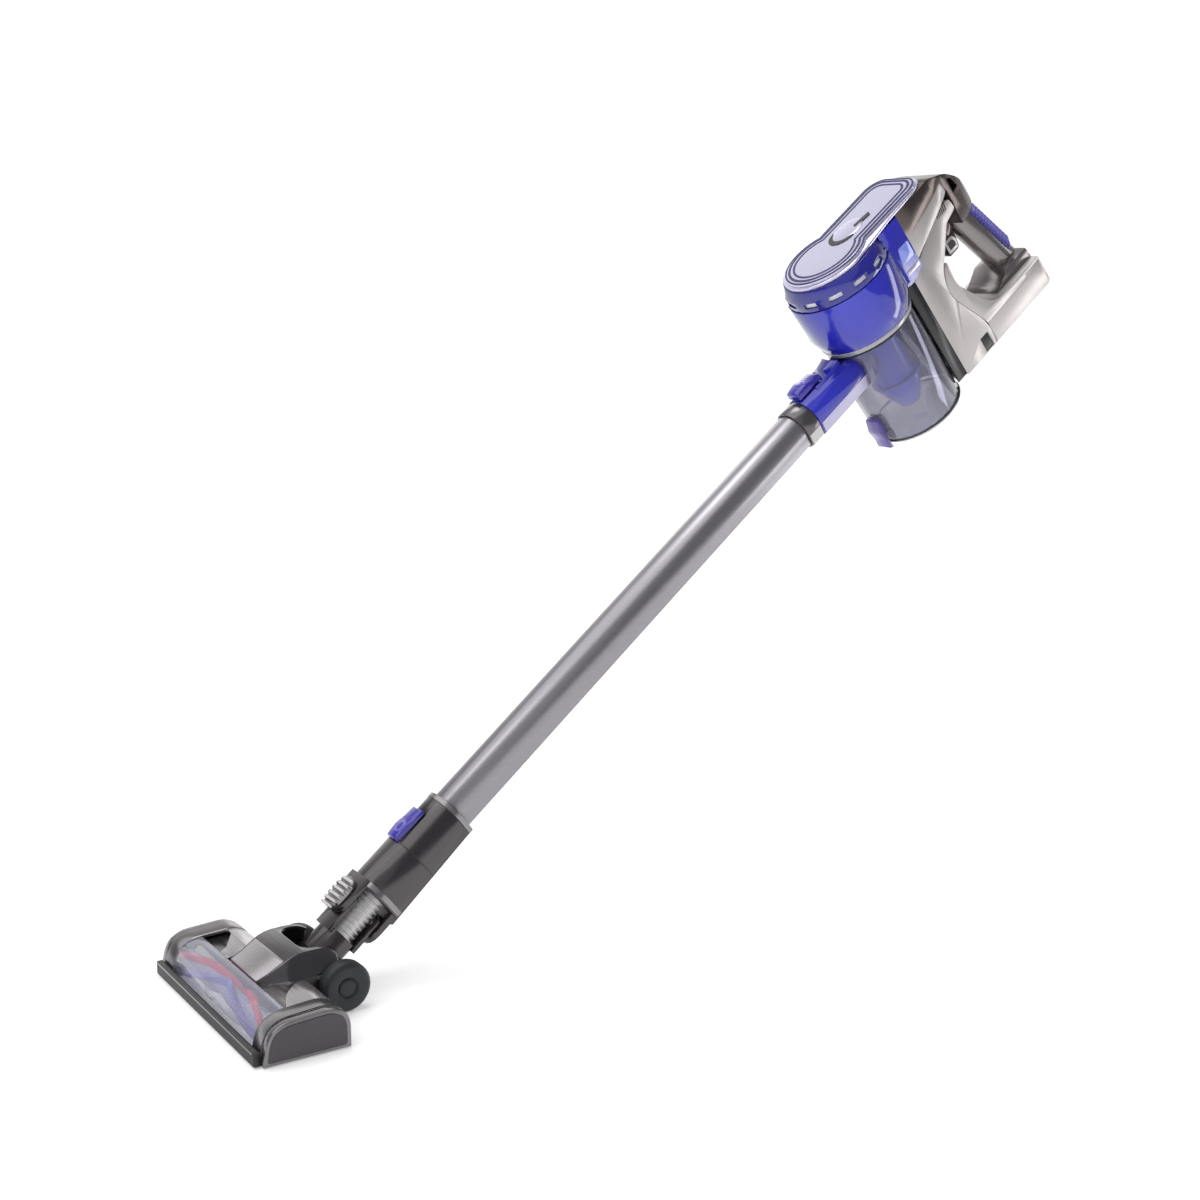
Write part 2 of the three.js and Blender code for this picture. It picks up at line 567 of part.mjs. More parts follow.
function buildNeck() {
  const drum = turnedX(rod(DRUM_R, -DRUM_HALF, DRUM_HALF), AXLE_S, AXLE_N, ROUND);
  const stubEnd = YAW_S - 23;
  const stub = turnedY(rod(NECK_R, AXLE_S + 4, stubEnd), ROUND);
  const bore = turnedY(rod(NECK_BORE_R, AXLE_S - 1, stubEnd + 1), ROUND);
  const hollow = turnedX(rod(DRUM_R - 3, 4 - DRUM_HALF, DRUM_HALF - 4), AXLE_S, AXLE_N);
  const port = block(-12, 12, AXLE_S - 30, AXLE_S, AXLE_N - 9, AXLE_N + 9);
  const axleHole = turnedX(rod(AXLE_R + RUN, -DRUM_HALF - 1, DRUM_HALF + 1), AXLE_S, AXLE_N);
  const eyePlan = [[-12, stubEnd - 4], [12, stubEnd - 4], [12, YAW_S + 9, 9], [0, YAW_S + 12, 4],
    [-12, YAW_S + 9, 9]];
  const eye = alongZ(eyePlan, NECK_BORE_R + 0.6, ARM_IN - RUN);
  const eyes = fuse(eye, eye.mirror([0, 0, 1]));
  const pinHole = turnedZ(rod(PIN_R + RUN, -40, 40), YAW_S, SMALL);
  const neck = cut(fuse(cut(fuse(drum, stub), bore, hollow, port, axleHole), eyes), pinHole);
  onWand('neck_lower', neck, 'gunmetal');

  const rings = 6;
  const low = stubEnd + GAP;
  const pitch = (SLEEVE_REAR - GAP - low) / rings;
  const outside = [];
  const inside = [];
  for (let i = 0; i < rings; i += 1) {
    const at = low + i * pitch;
    outside.push([11.4, at], [13.2, at + pitch * 0.25], [13.2, at + pitch * 0.6],
      [11.4, at + pitch * 0.85]);
    inside.unshift([9.8, at], [10.6, at + pitch * 0.45]);
  }
  outside.push([11.4, low + rings * pitch]);
  inside.unshift([9.8, low + rings * pitch]);
  onWand('swivel_hose', turnedY([...outside, ...inside.sort((p, q) => q[1] - p[1])], SMALL), 'pale');
}

// ---------- connector ----------

function connectorSleeve() {
  const front = alongY(keelSection(SLEEVE_GROW), SLEEVE_STEP, SLEEVE_FRONT);
  const rear = alongY(keelSection(SLEEVE_STEP_GROW), SLEEVE_REAR, SLEEVE_STEP);
  const armPlan = [[-ARM_R, SLEEVE_REAR + 6], [ARM_R, SLEEVE_REAR + 6], [ARM_R, YAW_S - ARM_R, 13],
    [-ARM_R, YAW_S - ARM_R, 13]];
  const upper = alongZ(armPlan, ARM_IN, ARM_OUT);
  const arms = fuse(upper, upper.mirror([0, 0, 1]));
  const socket = alongY(keelSection(RUN), WAND_START - RUN, SLEEVE_FRONT + 1);
  const passage = turnedY(rod(13, SLEEVE_REAR - 1, WAND_START + 1), ROUND);
  const pins = turnedZ(rod(PIN_R + GAP, -40, 40), YAW_S, SMALL);
  const seat = block(-9, 9, -62, -28, WAND_R + 1.2, 40);
  return cut(fuse(front, rear, arms), socket, passage, pins, seat);
}

/** Side view of the two blue release buttons, [s, n], from their low end. */
const buttonProfile = (s, n, length, height) => [
  [s, n], [s + length, n], [s + length, n + height * 0.55, 2], [s + length * 0.62, n + height * 0.7, 5],
  [s + length * 0.4, n + height, 5], [s, n + height * 0.75, 2],
];

function buildConnector() {
  onWand('connector_sleeve', connectorSleeve(), 'gunmetal');
  const railTop = -KEEL_DEPTH - SLEEVE_STEP_GROW - GAP;
  const rail = alongX([[SLEEVE_FRONT - 2, railTop], [SLEEVE_FRONT - 2, railTop - 2],
    [SLEEVE_STEP, railTop - 4],
    [SLEEVE_REAR - 6, railTop - 6, 2], [SLEEVE_REAR - 6, railTop, 1]], -7, 7);
  onWand('contact_rail', rail, 'dark');
  const pin = turnedZ(rod(PIN_R, NECK_BORE_R + 1, ARM_OUT + 1), YAW_S, SMALL);
  const capPlan = (half) => [[-half, YAW_S + 17, half], [half, YAW_S + 17, half], [half, YAW_S - 14, half],
    [-half, YAW_S - 14, half]];
  const ribs = [-10, -5, 0, 5, 10].map((y) => block(-14, 14, YAW_S + y - 1, YAW_S + y + 1, ARM_OUT + 3,
    ARM_OUT + 9));
  const cap = cut(alongZ(capPlan(12), ARM_OUT + GAP, ARM_OUT + 4.5), ...ribs);
  onWand('pivot_cap_top', fuse(cap, pin), 'aluminium');
  const lowCap = turnedZ(rod(9, ARM_OUT + GAP, ARM_OUT + 3), YAW_S, SMALL);
  onWand('pivot_cap_bottom', fuse(lowCap, pin).mirror([0, 0, 1]), 'gunmetal');
  const low = WAND_R + 1.2 + GAP + BUTTON_TRAVEL;
  onWand('connector_button', alongX(buttonProfile(-61.5, low, 33, 5.5), -8, 8), 'blue');
}

// ---------- wand ----------

function buildWand() {
  const tube = cut(alongY(keelSection(0), WAND_START, WAND_END),
    turnedY(rod(WAND_R - WAND_WALL, WAND_START - 1, WAND_END + 1), ROUND));
  onWand('wand_tube', tube, 'aluminium');
  const collar = cut(alongY(keelSection(1.8), COLLAR_START, COLLAR_END),
    alongY(keelSection(GAP), COLLAR_START - 1, COLLAR_END + 1));
  onWand('wand_collar', collar, 'dark');
}

// ---------- dust cup ----------

const INLET_START = COLLAR_END + GAP;
const INLET_GROW = RUN + INLET_WALL;

function inletNeck() {
  const tube = alongY(keelSection(INLET_GROW), INLET_START, CUP_S - CORE_R - 3);
  const saddle = alongX([[w(-19), 10], [w(33), 10], [w(33), CUP_TOP + 10], [w(21), CUP_TOP + 9, 4],
    [w(9), 21, 8], [w(-19), 19.6]], -11, 11);
  const socket = alongY(keelSection(RUN), INLET_START - 1, WAND_END + RUN);
  const passage = turnedY(rod(WAND_R - WAND_WALL, WAND_END, CUP_S - CORE_R), ROUND);
  const seat = block(-9, 9, INLET_START - 1, w(-6), WAND_R + 1.2, 60);
  const flange = CUP_TOP - CORE_FLANGE - GAP;
  const room = turnedZ([[0, flange], [CUP_R - CUP_WALL, flange], [CUP_R - CUP_WALL, CUP_TOP + GAP],
    [BODY_R + 2, CUP_TOP + GAP], [BODY_R + 2, 60], [0, 60]], CUP_S);
  return cut(fuse(tube, saddle), socket, passage, seat, room);
}

function buildDustCup() {
  onWand('inlet_neck', inletNeck(), 'blue');
  const wall = turnedZ(ring(CUP_R - CUP_WALL, CUP_R, CUP_BOTTOM, CUP_TOP), CUP_S);
  const hole = fuse(alongY(keelSection(INLET_GROW + GAP), CUP_S - CUP_R - 6, CUP_S),
    block(-11.3, 11.3, CUP_S - CUP_R - 6, CUP_S - 30, 0, CUP_TOP + 2));
  onWand('cup_shell', cut(wall, hole), 'clear');
  onWand('cyclone_core', turnedZ([[CORE_R - CORE_WALL, CORE_BOTTOM], [CORE_R, CORE_BOTTOM],
    [CORE_R, CUP_TOP - CORE_FLANGE], [CUP_R - CUP_WALL - GAP, CUP_TOP - CORE_FLANGE],
    [CUP_R - CUP_WALL - GAP, CUP_TOP], [CORE_R - CORE_WALL, CUP_TOP]], CUP_S),
    'blue');
  onWand('dust_cone', turnedZ([[CORE_R - 3, CORE_BOTTOM - GAP], [CORE_R + 4, CORE_BOTTOM - GAP],
    [13, CONE_BOTTOM], [10, CONE_BOTTOM], [CORE_R - 3, CORE_BOTTOM - 6]], CUP_S), 'purple');
  onWand('pre_filter', turnedZ(ring(8, CORE_R - CORE_WALL - GAP, CORE_BOTTOM + 14, CUP_TOP), CUP_S,
    SMALL), 'pale');
  onWand('cup_seal', turnedZ(ring(CUP_R - 5, CUP_R + 0.5, CUP_TOP + GAP, BODY_BOTTOM - GAP), CUP_S),
    'rubber');

  const doorTop = CUP_BOTTOM - GAP;
  const hingeS = CUP_S + CUP_R + 2;
  const hingeN = doorTop - DOOR_THICK / 2;
  const disc = turnedZ([[0, doorTop - DOOR_THICK], [CUP_R - 2, doorTop - DOOR_THICK],
    [CUP_R, doorTop - 1.5],
    [CUP_R, doorTop], [0, doorTop]], CUP_S);
  const knuckle = turnedX(rod(2.6, -7, 7), hingeS, hingeN);
  const neck = block(-7, 7, hingeS - 6, hingeS, doorTop - DOOR_THICK, doorTop - GAP);
  const pinHole = turnedX(rod(1.2 + GAP, -20, 20), hingeS, hingeN);
  onWand('cup_door', cut(fuse(disc, neck, knuckle), pinHole), 'clear');
  onWand('door_pin', turnedX(rod(1.2, -12, 12), hingeS, hingeN, 12), 'steel');

  const front = CUP_S - CUP_R;
  const latch = alongX([[front - GAP, -57], [front - 5, -58, 2], [front - 9, -70, 3], [front - 7, -80, 3],
    [front - 8, -90, 2], [front - 3, -92], [front - 3, -76], [front - GAP, -74]], -8, 8);
  onWand('cup_latch', latch, 'purple');
}

function buildInletButton() {
  const low = WAND_R + 1.2 + GAP + BUTTON_TRAVEL;
  onWand('inlet_button', alongX(buttonProfile(w(-38.5), low, 32, 8), -8, 8), 'blue');
}

// ---------- motor housing ----------

/** Outline of the square rear part of the motor housing, [s, n]. */
const blockProfile = [[CUP_S, 41], [h(-8), 33], [h(-3), 33], [BLOCK_REAR, 40],
  [BLOCK_REAR, COLLAR_TOP - 2], [CUP_S, COLLAR_TOP - 2]];

function bodyShell() {
  const round = turnedZ([[0, BODY_BOTTOM], [CUP_R + 0.7, BODY_BOTTOM], [BODY_R, 39], [BODY_R, BODY_TOP],
    [0, BODY_TOP]], CUP_S);
  const square = alongX(blockProfile, -BLOCK_HALF, BLOCK_HALF);
  const wall = BODY_WALL;
  const roundHollow = turnedZ([[0, BODY_BOTTOM - 1], [14, BODY_BOTTOM - 1], [14, BODY_BOTTOM + wall],
    [CUP_R - 2, BODY_BOTTOM + wall], [BODY_R - wall, 39], [BODY_R - wall, COLLAR_TOP], [0, COLLAR_TOP]],
    CUP_S);
  const squareHollow = alongX(inset(blockProfile, wall), wall - BLOCK_HALF, BLOCK_HALF - wall);
  const duct = block(wall - BLOCK_HALF, BLOCK_HALF - wall, CUP_S, BLOCK_REAR - wall, 60, COLLAR_TOP);
  const spine = block(-PANEL_HALF - GAP, PANEL_HALF + GAP, PANEL_FRONT - 16, PANEL_FRONT + 30, 0, 31 + GAP);
  return cut(fuse(round, square), roundHollow, squareHollow, duct, spine);
}

function ventCollar() {
  const band = turnedZ([[BODY_R - 7, BODY_TOP + GAP], [BODY_R - 1, BODY_TOP + GAP],
    [BODY_R - 1, COLLAR_TOP - 8],
    [BODY_R - 6, COLLAR_TOP], [BODY_R - 9, COLLAR_TOP], [BODY_R - 9, COLLAR_TOP - 6]], CUP_S);
  const slots = [];
  for (let i = 0; i < VENT_COUNT; i += 1) {
    const turn = 360 / VENT_COUNT * (i + 0.5);
    const slot = block(BODY_R - 12, BODY_R + 4, -7, 7, BODY_TOP + 5, BODY_TOP + 10);
    slots.push(slot.rotate([0, 0, turn]).translate([0, CUP_S, 0]));
  }
  const room = block(-BLOCK_HALF - GAP, BLOCK_HALF + GAP, CUP_S, BLOCK_REAR + 5, 60, 120);
  return cut(band, room, ...slots);
}

/** Plan of the lid, [x, s], shrunk by a margin. */
function lidPlan(margin) {
  const shape = new THREE.Shape();
  const r = LID_R - margin;
  const rear = 24 - margin / 2;
  shape.absarc(0, CUP_S, r, Math.PI * 1.03, -Math.PI * 0.03);
  shape.lineTo(BLOCK_HALF - margin, BLOCK_REAR - 8);
  shape.lineTo(BLOCK_HALF - 2 - margin, LID_REAR - rear);
  shape.quadraticCurveTo(BLOCK_HALF - 3 - margin, LID_REAR - margin, rear * 0.4, LID_REAR - margin);
  shape.lineTo(-rear * 0.4, LID_REAR - margin);
  shape.quadraticCurveTo(margin + 3 - BLOCK_HALF, LID_REAR - margin, margin + 2 - BLOCK_HALF,
    LID_REAR - rear);
  shape.lineTo(margin - BLOCK_HALF, BLOCK_REAR - 8);
  return new THREE.Shape(shape.getPoints(9));
}

const slotPlan = (half, s0, s1) => [[-half, s0, half], [half, s0, half], [half, s1, half],
  [-half, s1, half]];

function buildLid() {
  const low = COLLAR_TOP + GAP;
  const mid = low + LID_THICK * 0.5;
  const top = low + LID_THICK;
  onWand('lid_rim', cut(alongZ(lidPlan(0), low, mid), alongZ(slotPlan(20, c(-17), c(93)), low - 1,
    mid + 1)), 'lilac');
  const button = slotPlan(6, c(18), c(48));
  const deck = cut(alongZ(lidPlan(3), mid + GAP, top), alongZ(slotPlan(6 + RUN, c(17.5), c(48.5)), mid,
    top + 1));
  const groove = cut(alongZ(slotPlan(22, c(-30), c(100)), top - 0.8, top + 1),
    alongZ(slotPlan(20.5, c(-28.5), c(98.5)), top - 1,
    top + 2));
  onWand('lid_deck', cut(deck, groove), 'lilac');
  onWand('mode_button', alongZ(button, mid + 1.6, top + 0.8), 'black');
}

function buildMotorHousing() {
  onWand('body_shell', bodyShell(), 'blue');
  onWand('vent_collar', ventCollar(), 'blue');
  buildLid();
  const shaftHole = turnedZ(rod(2.5 + RUN, MOTOR_HIGH - 18, MOTOR_HIGH + 1), CUP_S, 12);
  onWand('suction_motor', cut(turnedZ(rod(MOTOR_R, MOTOR_LOW, MOTOR_HIGH), CUP_S), shaftHole), 'copper');
  const fan = turnedZ([[0, MOTOR_HIGH - 16], [2.5, MOTOR_HIGH - 16], [2.5, MOTOR_HIGH + 2],
    [IMPELLER_R, MOTOR_HIGH + 2],
    [IMPELLER_R, MOTOR_HIGH + 4], [14, MOTOR_HIGH + 8], [0, MOTOR_HIGH + 8]], CUP_S);
  onWand('impeller', fan, 'aluminium');

  const rearStart = BLOCK_REAR + GAP;
  const rearPlan = [[-BLOCK_HALF + 1, rearStart], [BLOCK_HALF - 1, rearStart], [BLOCK_HALF - 1, h(64), 20],
    [17, h(118), 14], [-17, h(118), 14], [1 - BLOCK_HALF, h(64), 20]];
  const bandLow = [[rearStart, 46], [h(60), 65], [h(82), 71, 4], [h(79), 83]];
  const upper = [[rearStart, 69 + GAP], [h(79) + GAP, 83 + GAP], [h(83), 70], [h(83), 60], [h(82), 33],
    [h(100), 33, 4],
    [h(114), 37, 4], [h(116), 50, 6], [h(110), 66, 8], [h(92), 84, 8], [h(66), COLLAR_TOP, 4],
    [rearStart, COLLAR_TOP]];
  const housing = common(alongX(upper, -BLOCK_HALF, BLOCK_HALF), alongZ(rearPlan, 0, 200));
  const hollow = alongX([[rearStart - 1, 76], [h(74), 88], [h(88), 75], [h(88), 62], [h(102), 62],
    [h(98), 74], [h(68), 93],
    [rearStart - 1, 93]], -26, 26);
  const triggerMount = alongX([[h(74), 24], [h(83), 24], [h(83), 40], [h(74), 46]], -9, 9);
  onWand('rear_housing', fuse(cut(housing, common(hollow, alongZ(rearPlan, 0, 200))), triggerMount),
    'brown');
  const band = common(alongX([...bandLow, [rearStart, 69]], 2 - BLOCK_HALF, BLOCK_HALF - 2),
    alongZ(rearPlan, 0, 200));
  onWand('rear_band', cut(band, block(-28, 28, rearStart - 1, h(70), 40, 90)), 'beige');
}

// ---------- handle ----------

// side view of the handle's pillar, [s, n]
const pillarProfile = [
  [PANEL_FRONT, BASE_BOTTOM, 2], [PANEL_FRONT, 31], [BLOCK_REAR, 40 - GAP], [h(59), 63.5, 1],
  [h(79), 64, 3], [h(81), 52, 3],
  [h(64), 47, 3], [h(44), 24, 6], [h(34), 14, 6], [h(28), -2, 8], [h(29), -17, 8],
  [BATTERY_FRONT - 3, -56, 6],
  [BATTERY_FRONT - GAP, -68, 3], [BATTERY_FRONT - GAP, BASE_BOTTOM],
];

// side view of the arm over the battery, which runs up behind the pillar
const armProfile = [
  [h(42), 18, 1], [h(36), 13.5, 5], [h(28.6), -2, 8], [h(29.6), -17, 8], [BATTERY_FRONT - 2.4, -56, 6],
  [BATTERY_FRONT + GAP, BATTERY_TOP + GAP], [h(117) - GAP, BATTERY_TOP + GAP],
  [h(117) - GAP, BATTERY_TOP + 5 + GAP],
  [BASE_REAR, BATTERY_TOP + 5 + GAP, 1], [BASE_REAR, ARM_TOP, 2], [h(74), ARM_TOP, 8], [h(60), -44, 6],
  [h(40), -7, 8], [h(42), 8, 3],
];

function panelRight() {
  const plate = alongX(pillarProfile, 0.15, PANEL_HALF);
  const pocket = alongX(inset(pillarProfile, SHELL), -1, PANEL_HALF - SHELL);
  const latchHole = block(PANEL_HALF - 8, PANEL_HALF + 1, h(32.5), h(44.5), -86, -70);
  return cut(plate, pocket, latchHole);
}

function buildHandle() {
  onWand('side_panel_right', panelRight(), 'beige');
  onWand('side_panel_left', mirrored(panelRight()), 'beige');
  const arm = alongX(armProfile, -PANEL_HALF, PANEL_HALF);
  const inside = [[h(35), -5], [h(38), -16], [h(57), -50], [h(64), ARM_TOP - SHELL],
    [h(114), ARM_TOP - SHELL],
    [h(114), BATTERY_TOP + SHELL], [h(53), BATTERY_TOP + SHELL], [h(52), -56], [h(32.5), -18], [h(32), -5]];
  const armHollow = alongX(inside, -PANEL_HALF + SHELL, PANEL_HALF - SHELL);
  const vent = block(-10, 10, h(82), h(102), BATTERY_TOP - 2, ARM_TOP - 3);
  onWand('base_arm', cut(arm, armHollow, vent), 'beige');

  const cupRoom = turnedZ(rod(CUP_R + 1.4, -200, 40), CUP_S);
  const strip = block(-PANEL_HALF, PANEL_HALF, PANEL_FRONT - 13, PANEL_FRONT - GAP, BASE_BOTTOM + 2, 31);
  onWand('spine_strip', cut(strip, cupRoom), 'black');

  const [s0, n0] = GRIP_FOOT;
  const [s1, n1] = GRIP_TOP;
  const lean = Math.atan2(s1 - s0, n1 - n0);
  const reach = Math.hypot(s1 - s0, n1 - n0);
  const oval = (grow) => new THREE.Shape(new THREE.EllipseCurve(0, 0, GRIP_HALF_X + grow,
    GRIP_HALF_S + grow)
    .getPoints(24).slice(0, 24));
  const stand = (form) => form.rotate([THREE.MathUtils.radToDeg(-lean), 0, 0]).translate([0, s0, n0]);
  const trim = block(-40, 40, h(52), h(152), n0 + GAP, n1);
  const shaft = common(stand(alongZ(oval(0), -12, reach + 12)), trim);
  const foot = alongX([[h(83), ARM_TOP + GAP], [BASE_REAR - 1, ARM_TOP + GAP],
    [BASE_REAR - 1, ARM_TOP + 3, 2],
    [h(138), n0 + 1], [h(107), n0 + 1], [h(92), -51, 6], [h(83), ARM_TOP + 1]], -22, 22);
  onWand('grip', cut(fuse(shaft, foot), stand(alongZ(oval(-3), -30, reach + 20))), 'gunmetal');
  const backOnly = block(-40, 40, 4, 40, 4, reach - 5);
  const pad = common(cut(alongZ(oval(GAP + RUBBER), 0, reach), alongZ(oval(GAP), -1, reach + 1)), backOnly);
  onWand('grip_rubber', common(stand(pad), block(-40, 40, h(52), h(172), n0 + 2, n1 - 2)), 'rubber');


  const trigger = alongX([[h(77), 22, 1], [h(85), 22, 1], [h(83), 6, 2], [h(80), 4, 2], [h(67), 4, 2],
    [h(66), 8, 1], [h(77), 10, 2]],
    -6, 6);
  onWand('trigger', trigger, 'black');
}

// ---------- battery ----------

function buildBattery() {
  const front = BATTERY_FRONT + GAP;
  const profile = [[front, BASE_BOTTOM], [front, BATTERY_TOP], [h(117), BATTERY_TOP],
    [h(117), BATTERY_TOP + 5],
    [BASE_REAR, BATTERY_TOP + 5, 2], [BASE_REAR, BASE_BOTTOM, 5]];
  const hollow = alongX([[front - 1, BASE_BOTTOM + SHELL], [front - 1, BATTERY_TOP - SHELL],
    [BASE_REAR - SHELL, BATTERY_TOP - SHELL], [BASE_REAR - SHELL, BASE_BOTTOM + SHELL]], SHELL - PANEL_HALF,
    PANEL_HALF - SHELL);
  const foot = block(-20, 20, h(117), h(125), BASE_BOTTOM - 3, BASE_BOTTOM + 1);
  onWand('battery_case', fuse(cut(alongX(profile, -PANEL_HALF, PANEL_HALF), hollow), foot), 'beige');
  const cellR = 8.4;
  const cells = [-18, 0, 18].map((x) => turnedY(rod(cellR, front + 3, front + 68), 16)
    .translate([x, 0, (BASE_BOTTOM + BATTERY_TOP) / 2]));
  const strap = block(-20, 20, front + 1, front + 3.5, (BASE_BOTTOM + BATTERY_TOP) / 2 - 3,
    (BASE_BOTTOM + BATTERY_TOP) / 2 + 3);
  onWand('battery_cells', fuse(strap, ...cells), 'aluminium');
  const latch = block(PANEL_HALF - 5, PANEL_HALF - 0.5, h(33), h(44), -85.5, -70.5);
  onWand('battery_latch_right', latch, 'dark');
  onWand('battery_latch_left', mirrored(latch), 'dark');
}

buildFloorHead();
buildNeck();
buildConnector();
buildWand();
buildInletButton();
buildDustCup();
buildMotorHousing();
buildHandle();
buildBattery();

export default vacuum;
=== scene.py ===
import json
import bmesh
import bpy
import numpy as np
from mathutils import Matrix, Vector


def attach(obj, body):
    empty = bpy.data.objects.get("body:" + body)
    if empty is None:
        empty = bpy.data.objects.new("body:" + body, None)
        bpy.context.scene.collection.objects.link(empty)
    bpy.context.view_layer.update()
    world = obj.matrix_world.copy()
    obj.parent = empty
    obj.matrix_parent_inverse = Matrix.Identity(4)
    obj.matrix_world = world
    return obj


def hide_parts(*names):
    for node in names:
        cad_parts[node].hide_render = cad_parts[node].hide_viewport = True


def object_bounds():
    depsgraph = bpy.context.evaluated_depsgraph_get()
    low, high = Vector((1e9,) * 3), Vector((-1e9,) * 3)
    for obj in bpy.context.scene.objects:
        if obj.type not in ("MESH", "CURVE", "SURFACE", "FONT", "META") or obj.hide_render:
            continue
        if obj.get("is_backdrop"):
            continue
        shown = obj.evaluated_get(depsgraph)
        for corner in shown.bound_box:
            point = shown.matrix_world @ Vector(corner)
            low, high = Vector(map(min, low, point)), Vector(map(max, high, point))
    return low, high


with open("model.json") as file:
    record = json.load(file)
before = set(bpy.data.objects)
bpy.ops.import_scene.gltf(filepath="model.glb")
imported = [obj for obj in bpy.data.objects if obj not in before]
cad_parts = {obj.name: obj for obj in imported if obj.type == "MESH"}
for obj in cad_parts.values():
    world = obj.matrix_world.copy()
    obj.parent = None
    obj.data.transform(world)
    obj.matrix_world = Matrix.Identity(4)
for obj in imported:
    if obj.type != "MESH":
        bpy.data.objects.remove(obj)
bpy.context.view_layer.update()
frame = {"nodes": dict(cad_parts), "record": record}

# ---- Studio ----
# The cleaner stands on a plain pale floor, held up at its grip, under large soft lamps in a white room.
# Lengths in this file are millimetres unless a name says otherwise; Blender's own are metres.

MM = 0.001
camera = bpy.data.objects.new("camera", bpy.data.cameras.new("camera"))
bpy.context.scene.collection.objects.link(camera)
bpy.context.scene.camera = camera
camera.data.sensor_width = 36
camera.data.lens = 52.605
camera_turn, camera_rise = np.radians(56.98), np.radians(10.78)
back = np.array([np.sin(camera_turn) * np.cos(camera_rise), -np.cos(camera_turn) * np.cos(camera_rise),
                 np.sin(camera_rise)])
right = np.array([np.cos(camera_turn), np.sin(camera_turn), 0])
stand_off = 1.5496
look_at = np.array([0.0, 0.3376, 0.3013])
pose = np.eye(4)
pose[:3, 0], pose[:3, 1], pose[:3, 2] = right, np.cross(back, right), back
pose[:3, 3] = look_at + stand_off * back
camera.matrix_world = Matrix(pose)


class Paint:
    """A material and its Principled shader. node() adds any node, and arithmetic on what it returns adds Math
    nodes."""

    def __init__(self, name, **sockets):
        self.material = bpy.data.materials.new(name)
        self.material.use_nodes = True
        self.tree = self.material.node_tree
        self.shader = self.tree.nodes["Principled BSDF"]
        self.set(self.shader, sockets)

    def set(self, node, sockets):
        for key, value in sockets.items():
            socket = node.inputs[key if isinstance(key, int) else key.replace("_", " ")]
            if isinstance(value, Wire):
                self.tree.links.new(value.socket, socket)
            else:
                socket.default_value = value

    def node(self, kind, settings=None, out=0, **sockets):
        made = self.tree.nodes.new(kind)
        for key, value in (settings or {}).items():
            setattr(made, key, value)
        self.set(made, {int(k[1:]) if k[0] == "i" and k[1:].isdigit() else k: v for k, v in sockets.items()})
        return Wire(self, made.outputs[out])

    def place(self, stretch=(1, 1, 1), turn=(0, 0, 0)):
        """Object coordinates, turned and stretched."""
        spot = self.node("ShaderNodeTexCoord", out=3)
        return self.node("ShaderNodeMapping", {}, i0=spot, Rotation=turn, Scale=stretch)

    def noise(self, scale, detail=2.0, where=None):
        return self.node("ShaderNodeTexNoise", Vector=where or self.place(), Scale=scale, Detail=detail)

    def blend(self, factor, low, high):
        """Colour that goes from low to high with the factor."""
        mix = self.tree.nodes.new("ShaderNodeMix")
        mix.data_type = "RGBA"
        self.set(mix, {0: factor, 6: low, 7: high})
        return Wire(self, mix.outputs[2])

    def bump(self, height, strength, depth=0.0001):
        self.set(self.shader, {"Normal": self.node("ShaderNodeBump", Height=height, Strength=strength,
                                                   Distance=depth)})


class Wire:
    """One output socket of a Paint."""

    def __init__(self, paint, socket):
        self.paint, self.socket = paint, socket

    def math(self, operation, other=None, first=None):
        pair = {"i0": self if first is None else first}
        if other is not None:
            pair["i1"] = other
        return self.paint.node("ShaderNodeMath", {"operation": operation}, **pair)

    def __add__(self, other):
        return self.math("ADD", other)

    def __sub__(self, other):
        return self.math("SUBTRACT", other)

    def __rsub__(self, other):
        return self.math("SUBTRACT", self, first=other)

    def __mul__(self, other):
        return self.math("MULTIPLY", other)

    __radd__, __rmul__ = __add__, __mul__


def shade(colour, factor):
    """The colour made lighter or darker by a factor, with full alpha."""
    return tuple(min(c * factor, 1) for c in colour[:3]) + (1,)


def moulded(name, colour, rough=0.3, metal=0.0, fleck=0.0, coat=0.0, grain=0.04, **sockets):
    """Moulded or lacquered plastic: slow tone drift, a fine surface grain and optional metallic flecks."""
    paint = Paint(name, Metallic=metal, Coat_Weight=coat, Coat_Roughness=0.06, **sockets)
    tone = paint.blend(paint.noise(18.0), shade(colour, 0.92), shade(colour, 1.08))
    if fleck:
        tone = paint.blend(paint.noise(3600.0, 1.0) * fleck, tone, shade(colour, 1.3))
    paint.set(paint.shader, {"Base Color": tone, "Roughness": paint.noise(90.0) * 0.08 + (rough - 0.04)})
    paint.bump(paint.noise(1500.0), grain)
    return paint.material


floor_paint = moulded("studio_floor", (0.93, 0.93, 0.935), 0.7, grain=0.02)
floor_shader = floor_paint.node_tree.nodes["Principled BSDF"]
floor_shader.inputs["Emission Color"].default_value = (1, 1, 1, 1)
floor_shader.inputs["Emission Strength"].default_value = 0.3
bpy.ops.mesh.primitive_plane_add(size=60, location=(0, 0, -0.0004))
floor = bpy.context.object
floor.name = "floor"
floor.data.materials.append(floor_paint)
floor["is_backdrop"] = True


def lamp(name, place, size, power, aim=(0, 0.35, 0.3)):
    """Soft lamp of a width and height that faces the aim point; with no size it is a sun of that strength."""
    data = bpy.data.lights.new(name, "AREA" if size else "SUN")
    data.energy = power
    if size:
        data.shape, data.size, data.size_y = "RECTANGLE", *size
    else:
        data.angle = np.radians(70)
    made = bpy.data.objects.new(name, data)
    bpy.context.scene.collection.objects.link(made)
    away = np.array(place) - np.array(aim)
    away = away / np.linalg.norm(away)
    side = np.cross((0, 0, 1), away)
    side = side / np.linalg.norm(side)
    turn = np.eye(4)
    turn[:3, 0], turn[:3, 1], turn[:3, 2], turn[:3, 3] = side, np.cross(away, side), away, place
    made.matrix_world = Matrix(turn)


